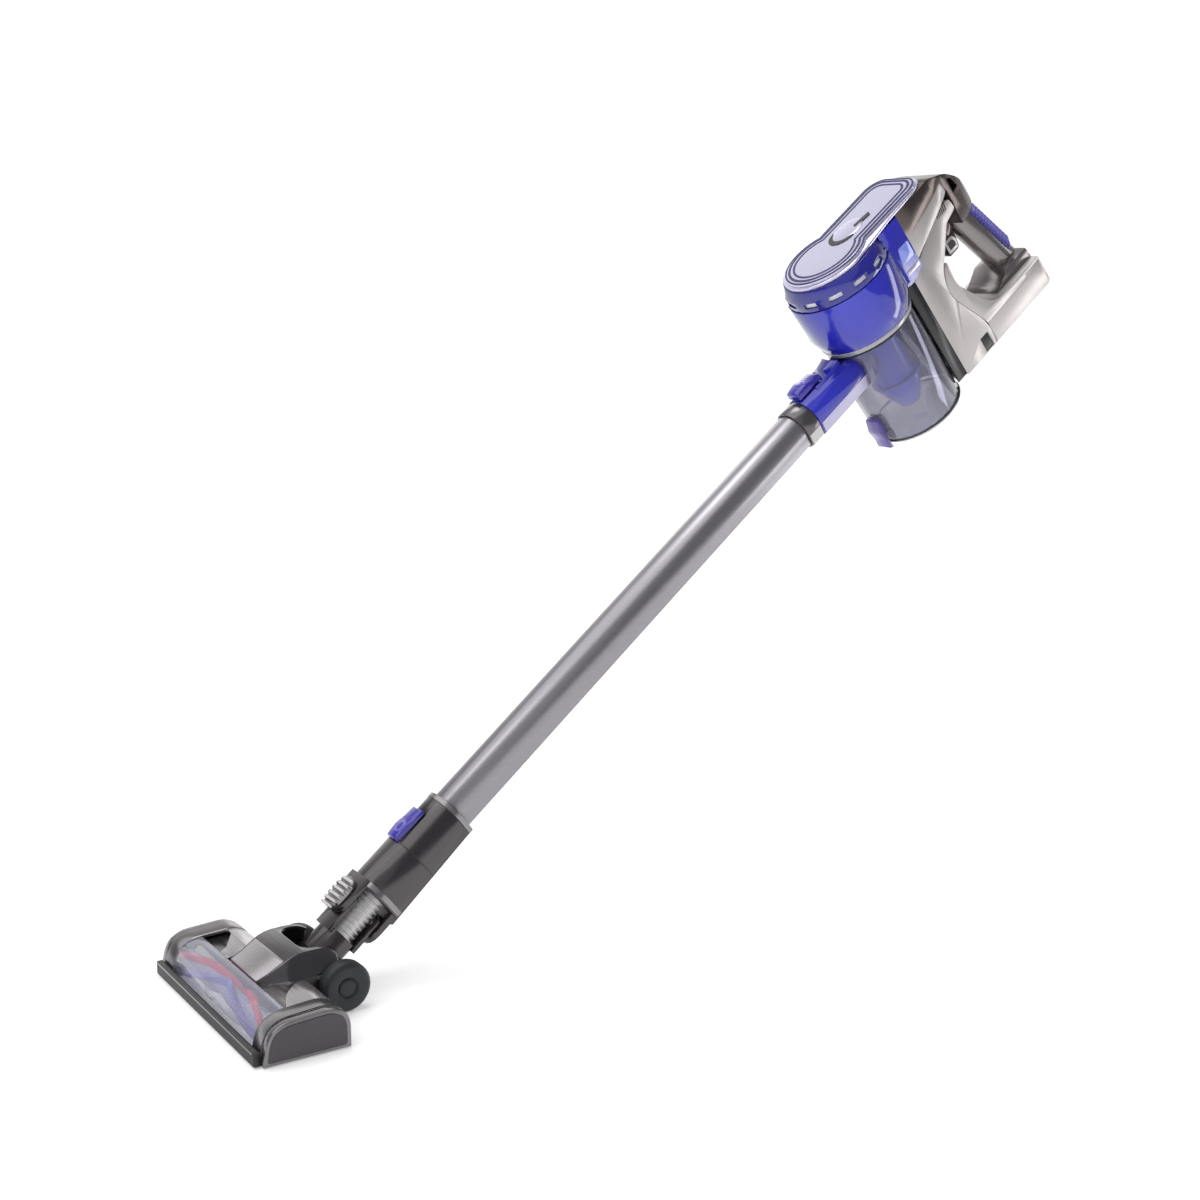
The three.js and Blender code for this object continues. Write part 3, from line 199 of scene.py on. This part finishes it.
lamp("room_sun", (-0.3, -0.6, 2.5), None, 1.5)
lamp("front_sun", (1.6, -1.6, 1.3), None, 0.3)
lamp("key_lamp", (0.2, -1.6, 1.7), (0.4, 0.9), 4)
lamp("strip_lamp", (0.6, 1.8, 0.65), (0.3, 1.1), 3.5, (0, 0.68, 0.52))
lamp("top_lamp", (-0.4, 0.3, 2.0), (0.6, 0.6), 5)
lamp("back_lamp", (-1.6, 1.3, 0.9), (0.8, 1.2), 3)
world = bpy.data.worlds.new("studio")
world.use_nodes = True
sky = world.node_tree
aimed = sky.nodes.new("ShaderNodeVectorMath")
aimed.operation = "DOT_PRODUCT"
aimed.inputs[1].default_value = tuple(-back)
sky.links.new(sky.nodes.new("ShaderNodeTexCoord").outputs["Generated"], aimed.inputs[0])
ramp = sky.nodes.new("ShaderNodeValToRGB")
dim, bright = ramp.color_ramp.elements
dim.position, dim.color = 0.2, (0.22, 0.22, 0.23, 1)
bright.position, bright.color = 0.75, (1, 1, 1, 1)
sky.links.new(aimed.outputs["Value"], ramp.inputs[0])
sky.links.new(ramp.outputs[0], sky.nodes["Background"].inputs[0])
sky.nodes["Background"].inputs[1].default_value = 1.05
bpy.context.scene.world = world
bpy.context.scene.view_settings.view_transform = "Standard"

# ---- Floor head: base, covers and end caps ----
# Moulded shells screwed to a dark base: lacquered light covers, a dark saddle behind the centre panel, and an
# end cap at each side with a darker inset face. The carried-over solids keep their shape with softened edges.


def coat_node(names, material, edge=0.5):
    """Gives carried-over solids a material, welded corners and softly rounded edges."""
    for name in names.split():
        node = frame["nodes"][name]
        node.data.materials.clear()
        node.data.materials.append(material)
        node.data.polygons.foreach_set("use_smooth", np.ones(len(node.data.polygons), bool))
        weld = node.modifiers.new("weld", "WELD")
        weld.merge_threshold = 0.00001
        soft = node.modifiers.new("soft_edge", "BEVEL")
        soft.width, soft.segments, soft.limit_method = edge * MM, 2, "ANGLE"
        soft.angle_limit, soft.harden_normals = np.radians(32), True


def rounded(points, steps=5):
    """Closed outline whose corners [u, v, radius] become short parabolas between the two sides they join."""
    corners = np.array([(*p, 0.0)[:3] for p in points])
    here, reach = corners[:, :2], corners[:, 2:]
    before, after = np.roll(here, 1, 0) - here, np.roll(here, -1, 0) - here
    limit = [np.linalg.norm(side, axis=1, keepdims=True) for side in (before, after)]
    reach = np.minimum(reach, 0.49 * np.minimum(*limit)) + 1e-3
    enter, leave = here + before / limit[0] * reach, here + after / limit[1] * reach
    t = np.linspace(0, 1, steps)[None, :, None]
    bend = (1 - t) ** 2 * enter[:, None] + 2 * t * (1 - t) * here[:, None] + t ** 2 * leave[:, None]
    return bend.reshape(-1, 2)


def inset(outline, distance):
    """Outline moved inwards by a distance along its mitres (a negative distance moves it out)."""
    u, v = outline.T
    side = np.sign(np.sum(u * np.roll(v, -1) - np.roll(u, -1) * v))
    into = outline - np.roll(outline, 1, 0)
    into = into / np.maximum(np.linalg.norm(into, axis=1, keepdims=True), 1e-9)
    normal = side * np.stack([-into[:, 1], into[:, 0]], 1)
    mitre = normal + np.roll(normal, -1, 0)
    mitre = mitre / np.maximum(np.sum(mitre * normal, axis=1, keepdims=True), 0.5)
    return outline + mitre * distance


def surface(name, grid, material, body, around=True, across=False, caps=True, smooth=40):
    """Mesh of a grid of points in metres: quads between neighbours, closed around each row, and either between
    the last and first rows (across) or with a flat cap on each (caps). Faces end up pointing outwards."""
    rows, cols = grid.shape[:2]
    index = np.arange(rows * cols).reshape(rows, cols)
    low, high = (index, np.roll(index, -1, 0)) if across else (index[:-1], index[1:])
    if around:
        quads = np.stack([low, np.roll(low, -1, 1), np.roll(high, -1, 1), high], -1)
    else:
        quads = np.stack([low[:, :-1], low[:, 1:], high[:, 1:], high[:, :-1]], -1)
    faces = quads.reshape(-1, 4).tolist()
    if caps and around and not across:
        faces += [index[0][::-1].tolist(), index[-1].tolist()]
    mesh = bpy.data.meshes.new(name)
    mesh.from_pydata(grid.reshape(-1, 3), [], faces)
    form = bmesh.new()
    form.from_mesh(mesh)
    bmesh.ops.remove_doubles(form, verts=form.verts, dist=1e-6)
    bmesh.ops.recalc_face_normals(form, faces=form.faces)
    form.to_mesh(mesh)
    form.free()
    mesh.polygons.foreach_set("use_smooth", np.ones(len(mesh.polygons), bool))
    mesh.set_sharp_from_angle(angle=np.radians(smooth))
    mesh.materials.append(material)
    made = bpy.data.objects.new(name, mesh)
    bpy.context.scene.collection.objects.link(made)
    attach(made, body)
    return made


def layered(name, outline, levels, place, material, body, **how):
    """Stack of one outline: levels are [inset, height] pairs, place puts (u, v, height) where it belongs."""
    loops = np.stack([np.column_stack([inset(outline, d), np.full(len(outline), h)]) for d, h in levels])
    return surface(name, place(loops) * MM, material, body, **how)


def on_floor_side(p):
    """(y, z, x) in floor head millimetres to a point."""
    return p[..., [2, 0, 1]]


dark = moulded("dark_plastic", (0.03, 0.028, 0.03), 0.32, fleck=0.1)
gunmetal = moulded("gunmetal_lacquer", (0.2, 0.19, 0.195), 0.25, 0.85, 0.3)
cover_silver = moulded("cover_silver_lacquer", (0.36, 0.34, 0.35), 0.27, 0.8, 0.3)
rubber = moulded("black_rubber", (0.014, 0.015, 0.016), 0.55, grain=0.25)
steel = moulded("turned_steel", (0.6, 0.6, 0.62), 0.25, 1.0)
coat_node("head_base", dark)
coat_node("centre_saddle", moulded("saddle_lacquer", (0.11, 0.105, 0.108), 0.22, 0.85, 0.25), 0.6)
coat_node("end_cap_right end_cap_left", gunmetal, 1.2)
coat_node("side_cover_right side_cover_left centre_panel", cover_silver, 0.4)
coat_node("front_bumper drive_belt cup_seal", rubber)
coat_node("brush_bearing_right brush_bearing_left head_motor head_motor_pulley", steel)
coat_node("axle_right axle_left door_pin", steel)

end_face = rounded([[-33, 3, 3], [-30.5, 17, 5], [-26.5, 25, 6], [-17, 29.6, 7], [3, 31, 8], [20, 31.8, 7],
                    [30, 27.5, 6], [33, 20, 4], [33, 3, 3]])
end_frame = rounded([[-36.2, 0.9, 2], [-36.2, 6, 3], [-32.7, 19.4, 6], [-28.2, 27.4, 6], [-18, 33.2, 8],
                     [4, 34.8, 8], [21, 35.8, 8], [33, 29.6, 6], [36.2, 21, 5], [36.2, 0.9, 2]])
end_paint = moulded("end_face_plastic", (0.07, 0.065, 0.07), 0.28, 0.6, 0.3)
for side, hand in ((1, "right"), (-1, "left")):
    levels = [(0, side * 110), (0, side * 112.6), (0.5, side * 113.1)]
    layered("end_face_" + hand, end_face, levels, on_floor_side, end_paint, "floor_head")
    levels = [(2.5, side * 88), (0.7, side * 88), (0, side * 89), (0, side * 104), (2.5, side * 104)]
    layered("end_frame_" + hand, end_frame, levels, on_floor_side, gunmetal, "floor_head", across=True)
for row in range(3):
    y0, y1 = -42.3 + row * 1.7, -41.6 + row * 1.7
    line = rounded([[-105, y0, 1], [105, y0, 1], [105, y1, 1], [-105, y1, 1]], 4)
    layered(f"bumper_line_{row}", line, [(0, 10), (0, 11.3), (0.2, 11.5)], lambda p: p, gunmetal, "floor_head")

# ---- Brush roller ----
# A turned plastic core with four wound rows of nylon bristles, seen through the window: red, violet, white and
# pale green. Each row is a V, wound one way on the left half and the other way on the right.

joints = {j["name"]: j for j in frame["record"]["behaviour"]["joints"]}
brush_y, brush_z = np.array(joints["brush_spin"]["pos_m"])[1:] / MM
brush_core = moulded("brush_core_plastic", (0.42, 0.42, 0.58), 0.4)
coat_node("brush_core", brush_core)


def bristles(name, start, colour):
    """Wound fringe, a four-sided blade with 481 places along x. Its angle is start plus a wind that grows with
    the distance from the middle, and a product of sines makes its tip uneven."""
    reach, pitch_reach, wind = 87.3, 91, np.radians(150)
    x = np.linspace(-reach, reach, 481)
    angle = start + wind * np.abs(x) / pitch_reach
    tip = 13.2 - 0.35 * (1 + np.sin(x * 17.0)) * (1 + np.sin(x * 5.3)) / 2
    root = np.full_like(x, 7.8)
    radius = np.stack([root, tip, tip, root])
    width = np.array([-2.6, -1.6, 1.6, 2.6])[:, None] + 0.25 * np.sin(x * 11.0)
    out, over = np.cos(angle), np.sin(angle)
    y = brush_y + radius * out - width * over
    z = brush_z + radius * over + width * out
    grid = np.stack([np.broadcast_to(x, y.shape), y, z], -1).transpose(1, 0, 2)
    fibre = moulded(name + "_nylon", colour, 0.6, grain=0.3)
    return surface(name, grid * MM, fibre, "brush")


red_row = bristles("bristles_red", 0, (0.85, 0.04, 0.09))
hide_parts("bristle_row_red")
pale_row = bristles("bristles_white", np.pi, (0.95, 0.95, 0.96))
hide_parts("bristle_row_pale")
bristles("bristles_violet", np.pi / 2, (0.3, 0.3, 0.75))
bristles("bristles_green", np.pi * 1.5, (0.65, 0.78, 0.6))


def clear(name, tint, thin, thick, rough=0.05, gleam=0.0):
    """Clear moulded plastic: nearly open where it faces the eye, denser where it is seen edge on."""
    paint = Paint(name, Coat_Weight=0.8, Coat_Roughness=0.03, IOR=1.45, Metallic=gleam)
    edge = paint.node("ShaderNodeLayerWeight", {}, out=1, Blend=0.35)
    haze = paint.noise(25.0) * 0.05
    paint.set(paint.shader, {"Base Color": paint.blend(edge, shade(tint, 1.0), shade(tint, 0.3)),
                             "Alpha": edge * (thick - thin) + haze + thin,
                             "Roughness": paint.noise(60.0) * 0.05 + rough})
    return paint.material


window_clear = clear("window_clear_plastic", (0.55, 0.55, 0.7), 0.05, 0.75)
coat_node("brush_window", window_clear, 0.3)

# ---- Wheels ----
# Two solid rubber-tyred wheels on steel stub axles; the hub face is dished and held by a round cap.

wheel_rubber = moulded("wheel_rubber", (0.016, 0.018, 0.021), 0.5, grain=0.2)
coat_node("wheel_right wheel_left", wheel_rubber, 0.8)


def turned(name, profile, centre, axis, material, body, segments=72, smooth=40):
    """Closed profile [radius, height] turned about an axis through a centre: the grid is profile by angle."""
    outline = np.asarray(profile, float)
    axis = np.asarray(axis, float) / np.linalg.norm(axis)
    first = np.cross(axis, (0, 0, 1) if abs(axis[2]) < 0.9 else (1, 0, 0))
    first = first / np.linalg.norm(first)
    second = np.cross(axis, first)
    angle = np.linspace(0, 2 * np.pi, segments, endpoint=False)
    ring = np.cos(angle)[:, None] * first + np.sin(angle)[:, None] * second
    grid = np.asarray(centre) + outline[:, :1, None] * ring[None] + outline[:, 1:, None] * axis
    return surface(name, grid * MM, material, body, across=True, smooth=smooth)


for side, hand in ((1, "right"), (-1, "left")):
    hub = rounded([[0.01, 52], [7, 52], [7.4, 53.6, 1], [5, 54.2, 1], [0.01, 54.4]])
    turned("wheel_cap_" + hand, hub, (0, 61, 21), (side, 0, 0), wheel_rubber, "wheel_" + hand)

# ---- Wand frame ----
# Everything from the neck up lies along the wand. s runs up the wand and n stands square to it; both are worked
# out from the two joints that turn and slide on those directions.

square = np.array(joints["neck_yaw"]["axis"])
along = -np.array(joints["wand_release"]["axis"])
yaw_s = -125.0
zero = np.array(joints["neck_yaw"]["pos_m"]) / MM - yaw_s * along
across = np.array([1.0, 0.0, 0.0])


def on_side(p):
    """(s, n, x) in wand millimetres to a point."""
    return zero + p[..., :1] * along + p[..., 1:2] * square + p[..., 2:] * across


def on_top(p):
    """(x, s, n) in wand millimetres to a point."""
    return on_side(p[..., [1, 2, 0]])


# ---- Neck, hose and fork ----
# The neck is a lacquered drum and pipe that tilts on the wheel axle. A ribbed hose joins it to the fork, whose
# upper pin is hidden by an oval ribbed cap.

connector_grey = moulded("connector_lacquer", (0.09, 0.084, 0.087), 0.26, 0.85, 0.15)
coat_node("neck_lower connector_sleeve contact_rail pivot_cap_bottom", connector_grey, 0.8)
cap_grey = moulded("pivot_cap_lacquer", (0.26, 0.25, 0.255), 0.24, 0.85, 0.3)
coat_node("pivot_cap_top", cap_grey, 0.6)
hose_silver = moulded("hose_silver", (0.75, 0.74, 0.73), 0.25, 0.5)
hose_low, hose_high, hose_ribs, hose_bore = -147.6, -107.4, 9, 9.9
hose_s = np.linspace(hose_low, hose_high, 241)
hose_r = 12.1 + 1.15 * np.cos((hose_s - hose_low) / 40.2 * 2 * np.pi * hose_ribs)
hose_profile = np.concatenate([np.column_stack([hose_r, hose_s]),
                               [[hose_bore, hose_high], [hose_bore, hose_low]]])
hose = turned("ribbed_hose", hose_profile, zero, along, hose_silver, "neck", 64)
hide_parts("swivel_hose")
for rib in range(6):
    s = yaw_s - 12.5 + rib * 5.2
    bar = rounded([[-9, s - 1.3, 1.2], [9, s - 1.3, 1.2], [9, s + 1.3, 1.2], [-9, s + 1.3, 1.2]])
    layered(f"cap_rib_{rib}", bar, [(0, 27), (0, 28.6), (0.5, 29.2)], on_top, hose_silver, "connector")


def keel_loop(grow):
    """Section of the wand grown by a distance, as (x, n): 220 degrees of arc over the top and a flat keel."""
    angle = np.linspace(np.radians(-20), np.radians(200), 60)
    arc = (17.5 + grow) * np.column_stack([np.cos(angle), np.sin(angle)])
    half, depth = 9 + 0.6 * grow, 18.5 + grow
    keel = np.array([[-half - 5.5, 3 - depth], [-half, -depth], [half, -depth], [half + 5.5, 3 - depth]])
    return np.concatenate([arc, keel])


def keel_band(name, s0, s1, grow, thick, material, body):
    """Band that wraps the wand's section between two places along it."""
    loops = [(s0, grow), (s0, grow + thick), (s1, grow + thick), (s1, grow)]
    sections = [(s, keel_loop(g)) for s, g in loops]
    grid = np.stack([np.column_stack([loop[:, 0], np.full(len(loop), s), loop[:, 1]]) for s, loop in sections])
    return surface(name, on_top(grid) * MM, material, body, across=True)


keel_band("connector_seam", -61.6, -60.4, 3.9, 1.65, dark, "connector")
keel_band("connector_lip", -13.5, -9.3, 3.9, 0.6, cap_grey, "connector")
keel_band("connector_rear_lip", -105.5, -101, 5.4, 0.5, cap_grey, "connector")
rail_slot = rounded([[-98, -27.6, 0.8], [-66, -26.6, 0.8], [-66, -25.6, 0.8], [-98, -25.6, 0.8]])
for side in (1, -1):
    layered(f"rail_slot_{side}", rail_slot, [(0, side * 6.8), (0, side * 7.3)], on_side, dark, "connector")

# ---- Wand ----
# An anodised aluminium tube drawn in one length with a flat keel underneath that carries the wires. The surface
# has fine lines along the draw, and a dark collar finishes its upper end.


def drawn_metal(name, colour):
    """Satin anodised tube: fine streaks along the wand from a noise stretched 60 to 1 along it."""
    paint = Paint(name, Metallic=0.85)
    tilt = float(np.arctan2(along[2], along[1]))
    streak = paint.noise(900.0, 3.0, paint.place((1, 0.016, 1), (-tilt, 0, 0)))
    tone = paint.blend(streak, shade(colour, 0.86), shade(colour, 1.12))
    paint.set(paint.shader, {"Base Color": tone, "Roughness": streak * 0.14 + 0.26})
    paint.bump(streak, 0.08)
    return paint.material


wand_metal = drawn_metal("anodised_wand", (0.3, 0.29, 0.31))
coat_node("wand_tube", wand_metal, 0.3)
collar_grey = moulded("collar_plastic", (0.13, 0.125, 0.13), 0.24, 0.8, 0.3)
coat_node("wand_collar", collar_grey, 0.6)

# ---- Release buttons ----
# Two sprung blue rockers, one on the connector and one on the inlet, each in a raised bezel.

button_blue = moulded("button_blue_gloss", (0.03, 0.02, 0.36), 0.2, coat=0.5)
coat_node("inlet_button connector_button", button_blue, 1.0)
button_pale = moulded("button_rest_pale", (0.16, 0.14, 0.55), 0.25, coat=0.4)
for name, s, n, body in (("connector_rest", -49.5, 25.2, "connector_button"),
                         ("inlet_rest", 501, 27.2, "inlet_button")):
    rest = rounded([[-5, s - 6, 5], [5, s - 6, 5], [5, s + 6, 5], [-5, s + 6, 5]], 8)
    levels = [(0, n - 2), (0, n + 0.6), (0.8, n + 1.2), (2, n + 1.3), (2.4, n + 0.9)]
    layered(name, rest, levels, on_top, button_pale, body)

# ---- Keel reflections ----
# Painted reflection: thin light strips on the flat keel at the wand's upper end stand in for the light its flat
# sides reflect, pale lilac on the inlet and silver on the collar.

# Painted reflection: light colours that paint the keel sides' reflection, lilac on the inlet and silver on the
# collar.
keel_reflection_lilac = moulded("keel_painted_reflection_lilac", (0.5, 0.48, 0.66), 0.25, 0.2)
keel_reflection_silver = moulded("keel_painted_reflection_silver", (0.5, 0.48, 0.48), 0.3, 0.5)
for name, s0, s1, grow, paint_used, body in (("inlet_keel_painted_reflection", 489, 566, 2.5, keel_reflection_lilac, "dust_cup"),
                                             ("collar_keel_painted_reflection", 471, 486, 1.8, keel_reflection_silver, "wand")):
    for hand in (1, -1):
        foot, top = 9 + 0.6 * grow, 14.5 + 0.6 * grow
        ends = np.array([[hand * foot, -18.5 - grow], [hand * top, -15.5 - grow],
                         [hand * (17.5 + grow) * 0.94, -6.0]])
        out = np.array([[hand * 0.1, -0.9], [hand * 0.8, -0.5], [hand * 0.8, -0.2]])
        loop = np.concatenate([ends + out * 0.6, (ends - out)[::-1]])
        grid = np.stack([np.column_stack([np.full(len(loop), s), loop[:, 1], loop[:, 0]]) for s in (s0, s1)])
        surface(f"{name}_{hand}", on_side(grid) * MM, paint_used, body)

# ---- Motor housing, inlet and cyclone core ----
# Deep blue see-through mouldings with a high gloss; the light inside them shows as a brighter blue face on.


def gem(name, deep, lit, coat=0.8):
    """Tinted see-through plastic: brighter where the surface faces the eye, deeper at a glancing angle."""
    paint = Paint(name, Coat_Weight=coat, Coat_Roughness=0.04, IOR=1.5)
    edge = paint.node("ShaderNodeLayerWeight", {}, out=1, Blend=0.5)
    drift = paint.noise(14.0) * 0.35
    paint.set(paint.shader, {"Base Color": paint.blend(edge + drift, lit + (1,), deep + (1,)),
                             "Roughness": paint.noise(50.0) * 0.06 + 0.1})
    paint.bump(paint.noise(260.0), 0.03)
    return paint.material


blue = gem("body_blue_clear", (0.005, 0.004, 0.16), (0.03, 0.035, 0.66))
deep_blue = gem("collar_blue_clear", (0.004, 0.004, 0.1), (0.014, 0.014, 0.34))
coat_node("inlet_neck body_shell", blue, 0.8)
core_blue = gem("core_blue_clear", (0.02, 0.02, 0.5), (0.1, 0.14, 1.0))
coat_node("cyclone_core", core_blue, 0.8)
coat_node("vent_collar", deep_blue, 0.6)
lilac = moulded("lilac_pearl", (0.58, 0.56, 0.74), 0.18, 0.4, 0.2, coat=0.7)
coat_node("lid_rim", lilac, 0.6)
# Painted light: a white ring just behind the vent slots stands in for the light that shows through the
# openings.
vent_painted_light = moulded("vent_painted_light", (0.88, 0.9, 0.98), 0.3)
cup_s = 597.0
cup_centre = on_side(np.array([cup_s, 0, 0]))
turned("vent_painted_light_ring", [[47.6, 81.2], [49.6, 81.2], [48.4, 88.2], [46.4, 88.2]], cup_centre, square, vent_painted_light,
       "handheld", 96)
window_pale = gem("block_window_pale", (0.1, 0.14, 0.7), (0.35, 0.45, 1.0))
side_window = rounded([[640.5, 54, 1.5], [659, 54, 1.5], [659, 70, 1.5], [645, 70, 1.5]])
side_stripe = rounded([[641, 42, 1], [659, 42, 1], [659, 46, 1], [641, 46, 1]])
for side in (1, -1):
    for name, plate, shade_used in (("window", side_window, window_pale), ("stripe", side_stripe, lilac)):
        levels = [(0, side * 35.5), (0, side * 36.25), (0.3, side * 36.4)]
        layered(f"block_{name}_{side}", plate, levels, on_side, shade_used, "handheld")
seam_grey = clear("seam_ring_plastic", (0.5, 0.5, 0.52), 0.75, 0.95, 0.2, 0.3)
turned("seam_ring", rounded([[45, 18.8], [47.6, 18.8, 0.8], [48.6, 23.5, 0.8], [46, 24.5]]),
       cup_centre, square, seam_grey, "handheld", 96)

# ---- Lid ----
# A pearl lilac cover over the fan. A long oval groove frames the raised middle, and a black crescent beside the
# power button is painted shade: the shadow in the finger scoop round the button.

lid_line = moulded("lid_line_blue", (0.01, 0.01, 0.11), 0.45)
black = moulded("black_gloss", (0.01, 0.01, 0.013), 0.4, coat=0.1)


def lid_outline(d):
    """Lid seen from above, moved in by d: an arc of radius 45.2 about the cup's axis from one side round the
    front to the other, then straight sides 71.4 apart to a rear end with quarter-round corners."""
    radius, half, rear, corner = 45.2 - d, 35.7 - d, 713.7 - d, max(20 - 0.6 * d, 4.0)
    widest = np.pi - np.arcsin(half / radius)
    arc = np.linspace(-widest, widest, 72)
    front = np.column_stack([radius * np.sin(arc), cup_s - radius * np.cos(arc)])
    bend = np.linspace(0, np.pi / 2, 12)
    turn_right = np.column_stack([half - corner + corner * np.cos(bend), rear - corner + corner * np.sin(bend)])
    return np.concatenate([front, turn_right, turn_right[::-1] * (-1, 1)])


def lid_loops(levels):
    """The lid's outline at each [inset, height] pair."""
    return np.stack([np.column_stack([lid_outline(d), np.full(96, h)]) for d, h in levels])


lid_levels = [(3.2, 100.1), (3.2, 101.2), (3.7, 102.1), (5, 102.7), (8, 103.1), (12, 103.3), (16, 103.4),
              (21, 103.5)]
lid_top = surface("lid_cover", on_top(lid_loops(lid_levels)) * MM, lilac, "handheld", smooth=30)
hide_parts("lid_deck")
for number, (d, wide) in enumerate(((4.6, 1.5), (8.4, 2.4), (13.4, 2.0))):
    low = np.interp(d, [4, 8, 12], [102.2, 102.7, 103.0])
    loops = [(d - wide / 2, low), (d - wide / 2, low + 0.65), (d + wide / 2, low + 0.75), (d + wide / 2, low)]
    surface(f"lid_line_{number}", on_top(lid_loops(loops)) * MM, lid_line, "handheld", across=True)
lobe_s = 632
lobe_angle = np.linspace(0, 2 * np.pi, 60, endpoint=False)
lobe = np.column_stack([14.5 * np.cos(lobe_angle), lobe_s + 18 * np.sin(lobe_angle)])
layered("lid_lobe", lobe, [(0, 103), (0, 103.7), (0.5, 104.1), (2.5, 104.4)], on_top, lilac, "handheld")
# Painted shade: a black crescent plate stands for the shadow inside the finger scoop beside the button.
sweep = np.linspace(np.radians(-165), np.radians(-15), 50)
fat = 7 * np.sin(np.linspace(0, np.pi, 50)) ** 0.7
outer = np.column_stack([(14.6 + fat / 2) * np.cos(sweep), lobe_s + (18.1 + fat / 2) * np.sin(sweep)])
inner = np.column_stack([(14.6 - fat / 2) * np.cos(sweep), lobe_s + (18.1 - fat / 2) * np.sin(sweep)])[::-1]
layered("lid_scoop_shadow", np.concatenate([outer, inner]), [(0, 102.8), (0, 104.3)], on_top, black, "handheld")
slot = rounded([[3, 639, 1.5], [8, 636, 1.5], [11, 656, 1.5], [6, 659, 1.5]])
layered("lid_slot", slot, [(0, 103), (0, 104.5), (0.2, 104.6)], on_top, black, "handheld")
coat_node("mode_button", lilac, 0.4)

# ---- Rear housing, band and handle ----
# Champagne lacquered half shells close round a dark spine, and the housing above them is a brown metallic
# moulding. The grip has a ribbed rubber pad on its back.

brown = moulded("brown_lacquer", (0.1, 0.082, 0.078), 0.2, 0.85, 0.3)
champagne = moulded("champagne_lacquer", (0.5, 0.465, 0.458), 0.3, 0.4, 0.25)
coat_node("rear_housing", brown, 1.5)
coat_node("side_panel_right side_panel_left base_arm battery_case rear_band", champagne, 0.7)
spine_black = moulded("spine_plastic", (0.02, 0.02, 0.022), 0.3)
coat_node("spine_strip trigger battery_latch_right battery_latch_left", spine_black)
grip_metal = moulded("grip_lacquer", (0.24, 0.22, 0.22), 0.22, 0.85, 0.3)
coat_node("grip", grip_metal, 0.8)

for rib in range(6):
    s = 705.0 + rib * 2.6
    bar = rounded([[s, 57, 0.4], [s + 1.0, 57, 0.4], [s + 2.6, 67, 0.4], [s + 1.6, 67, 0.4]], 3)
    for side in (1, -1):
        levels = [(0, side * 29), (0, side * 30.3), (0.2, side * 30.5)]
        layered(f"exhaust_rib_{rib}_{side}", bar, levels, on_side, spine_black, "handheld")
trigger_plate = rounded([[716, 6, 2], [730, 6, 2], [731.5, 13, 3], [728, 20, 2], [717, 20, 2]])
trigger_inner = rounded([[718.5, 9, 1], [727.5, 9, 1], [728.5, 13, 2], [726, 17, 1], [719, 17, 1]])
for side in (1, -1):
    levels = [(0, side * 5.8), (0, side * 6.4), (0.3, side * 6.6)]
    layered(f"trigger_plate_{side}", trigger_plate, levels, on_side, champagne, "trigger")
    levels = [(0, side * 6.3), (0, side * 6.8)]
    layered(f"trigger_inner_{side}", trigger_inner, levels, on_side, spine_black, "trigger")

for side, hand in ((1, "right"), (-1, "left")):
    foot = rounded([[655, side * 14, 2], [668, side * 14, 2], [668, side * 24, 2], [655, side * 24, 2]])
    levels = [(0, -86.6), (0, -88.8), (0.8, -89.8)]
    layered("front_foot_" + hand, foot, levels, lambda p: on_side(p[..., [0, 2, 1]]), rubber, "handheld")

grip_foot, grip_top = np.array([773.0, -44]), np.array([748.0, 31])
grip_way = (grip_top - grip_foot) / np.linalg.norm(grip_top - grip_foot)


def grip_pad(ribs=14, length=70):
    """Ribbed half sleeve: an ellipse arc round the back of the grip, its radius waved along the length."""
    t = np.linspace(0, 1, ribs * 8 + 1)
    angle = np.linspace(np.radians(-72), np.radians(72), 33)
    wave = np.sin(np.pi * ribs * t) ** 2
    end_fade = np.clip(np.minimum(t, 1 - t) * 12, 0, 1)
    edge_fade = np.clip((np.radians(76) - np.abs(angle[:, None])) * 6, 0, 1)
    grow = 0.3 + end_fade * edge_fade * (0.2 + 3.4 * wave)
    side = (14 + grow) * np.sin(angle)[:, None]
    rear = (15.5 + grow) * np.cos(angle)[:, None]
    inner_side, inner_rear = 14.1 * np.sin(angle)[:, None] + 0 * t, 15.6 * np.cos(angle)[:, None] + 0 * t
    centre = grip_foot + (6 + t * length)[:, None] * grip_way
    out = np.array([grip_way[1], -grip_way[0]])

    def spot(x, r):
        s = centre[None, :, 0] + r * out[0]
        n = centre[None, :, 1] + r * out[1]
        return on_side(np.stack([s, n, x], -1))

    return np.concatenate([spot(side, rear), spot(inner_side, inner_rear)[::-1]]).transpose(1, 0, 2)


pad_violet = moulded("grip_rubber_violet", (0.09, 0.075, 0.42), 0.35, grain=0.2, coat=0.3)
pad = surface("grip_pad_ribbed", grip_pad() * MM, pad_violet, "handheld", smooth=30)
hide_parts("grip_rubber")

# ---- Dust cup ----
# A clear smoky bucket with a hinged clear floor, a violet latch and the cyclone's cone inside.

cup_clear = clear("cup_clear_plastic", (0.25, 0.25, 0.35), 0.2, 1.0, 0.1, 0.8)
coat_node("cup_shell cup_door", cup_clear, 0.4)
latch_violet = moulded("latch_violet_gloss", (0.1, 0.07, 0.3), 0.2, coat=0.5)
coat_node("cup_latch", latch_violet, 0.8)
coat_node("dust_cone", core_blue)
turned("door_seam", rounded([[45.6, -88.6], [46.6, -88.6, 0.3], [46.6, -87.2, 0.3], [45.6, -87.2]]),
       cup_centre, square, spine_black, "dust_cup", 96)

# ---- Inner pieces ----
# Filter, motor, fan and cells: plain mouldings and turned metal, mostly hidden.

filter_white = moulded("filter_white", (0.75, 0.75, 0.74), 0.8, grain=0.4)
coat_node("pre_filter", filter_white)
motor_metal = moulded("motor_metal", (0.45, 0.42, 0.4), 0.35, 0.9)
coat_node("suction_motor impeller", motor_metal)
cell_green = moulded("cell_wrap", (0.1, 0.3, 0.25), 0.35)
coat_node("battery_cells", cell_green)

(low, high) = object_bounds()
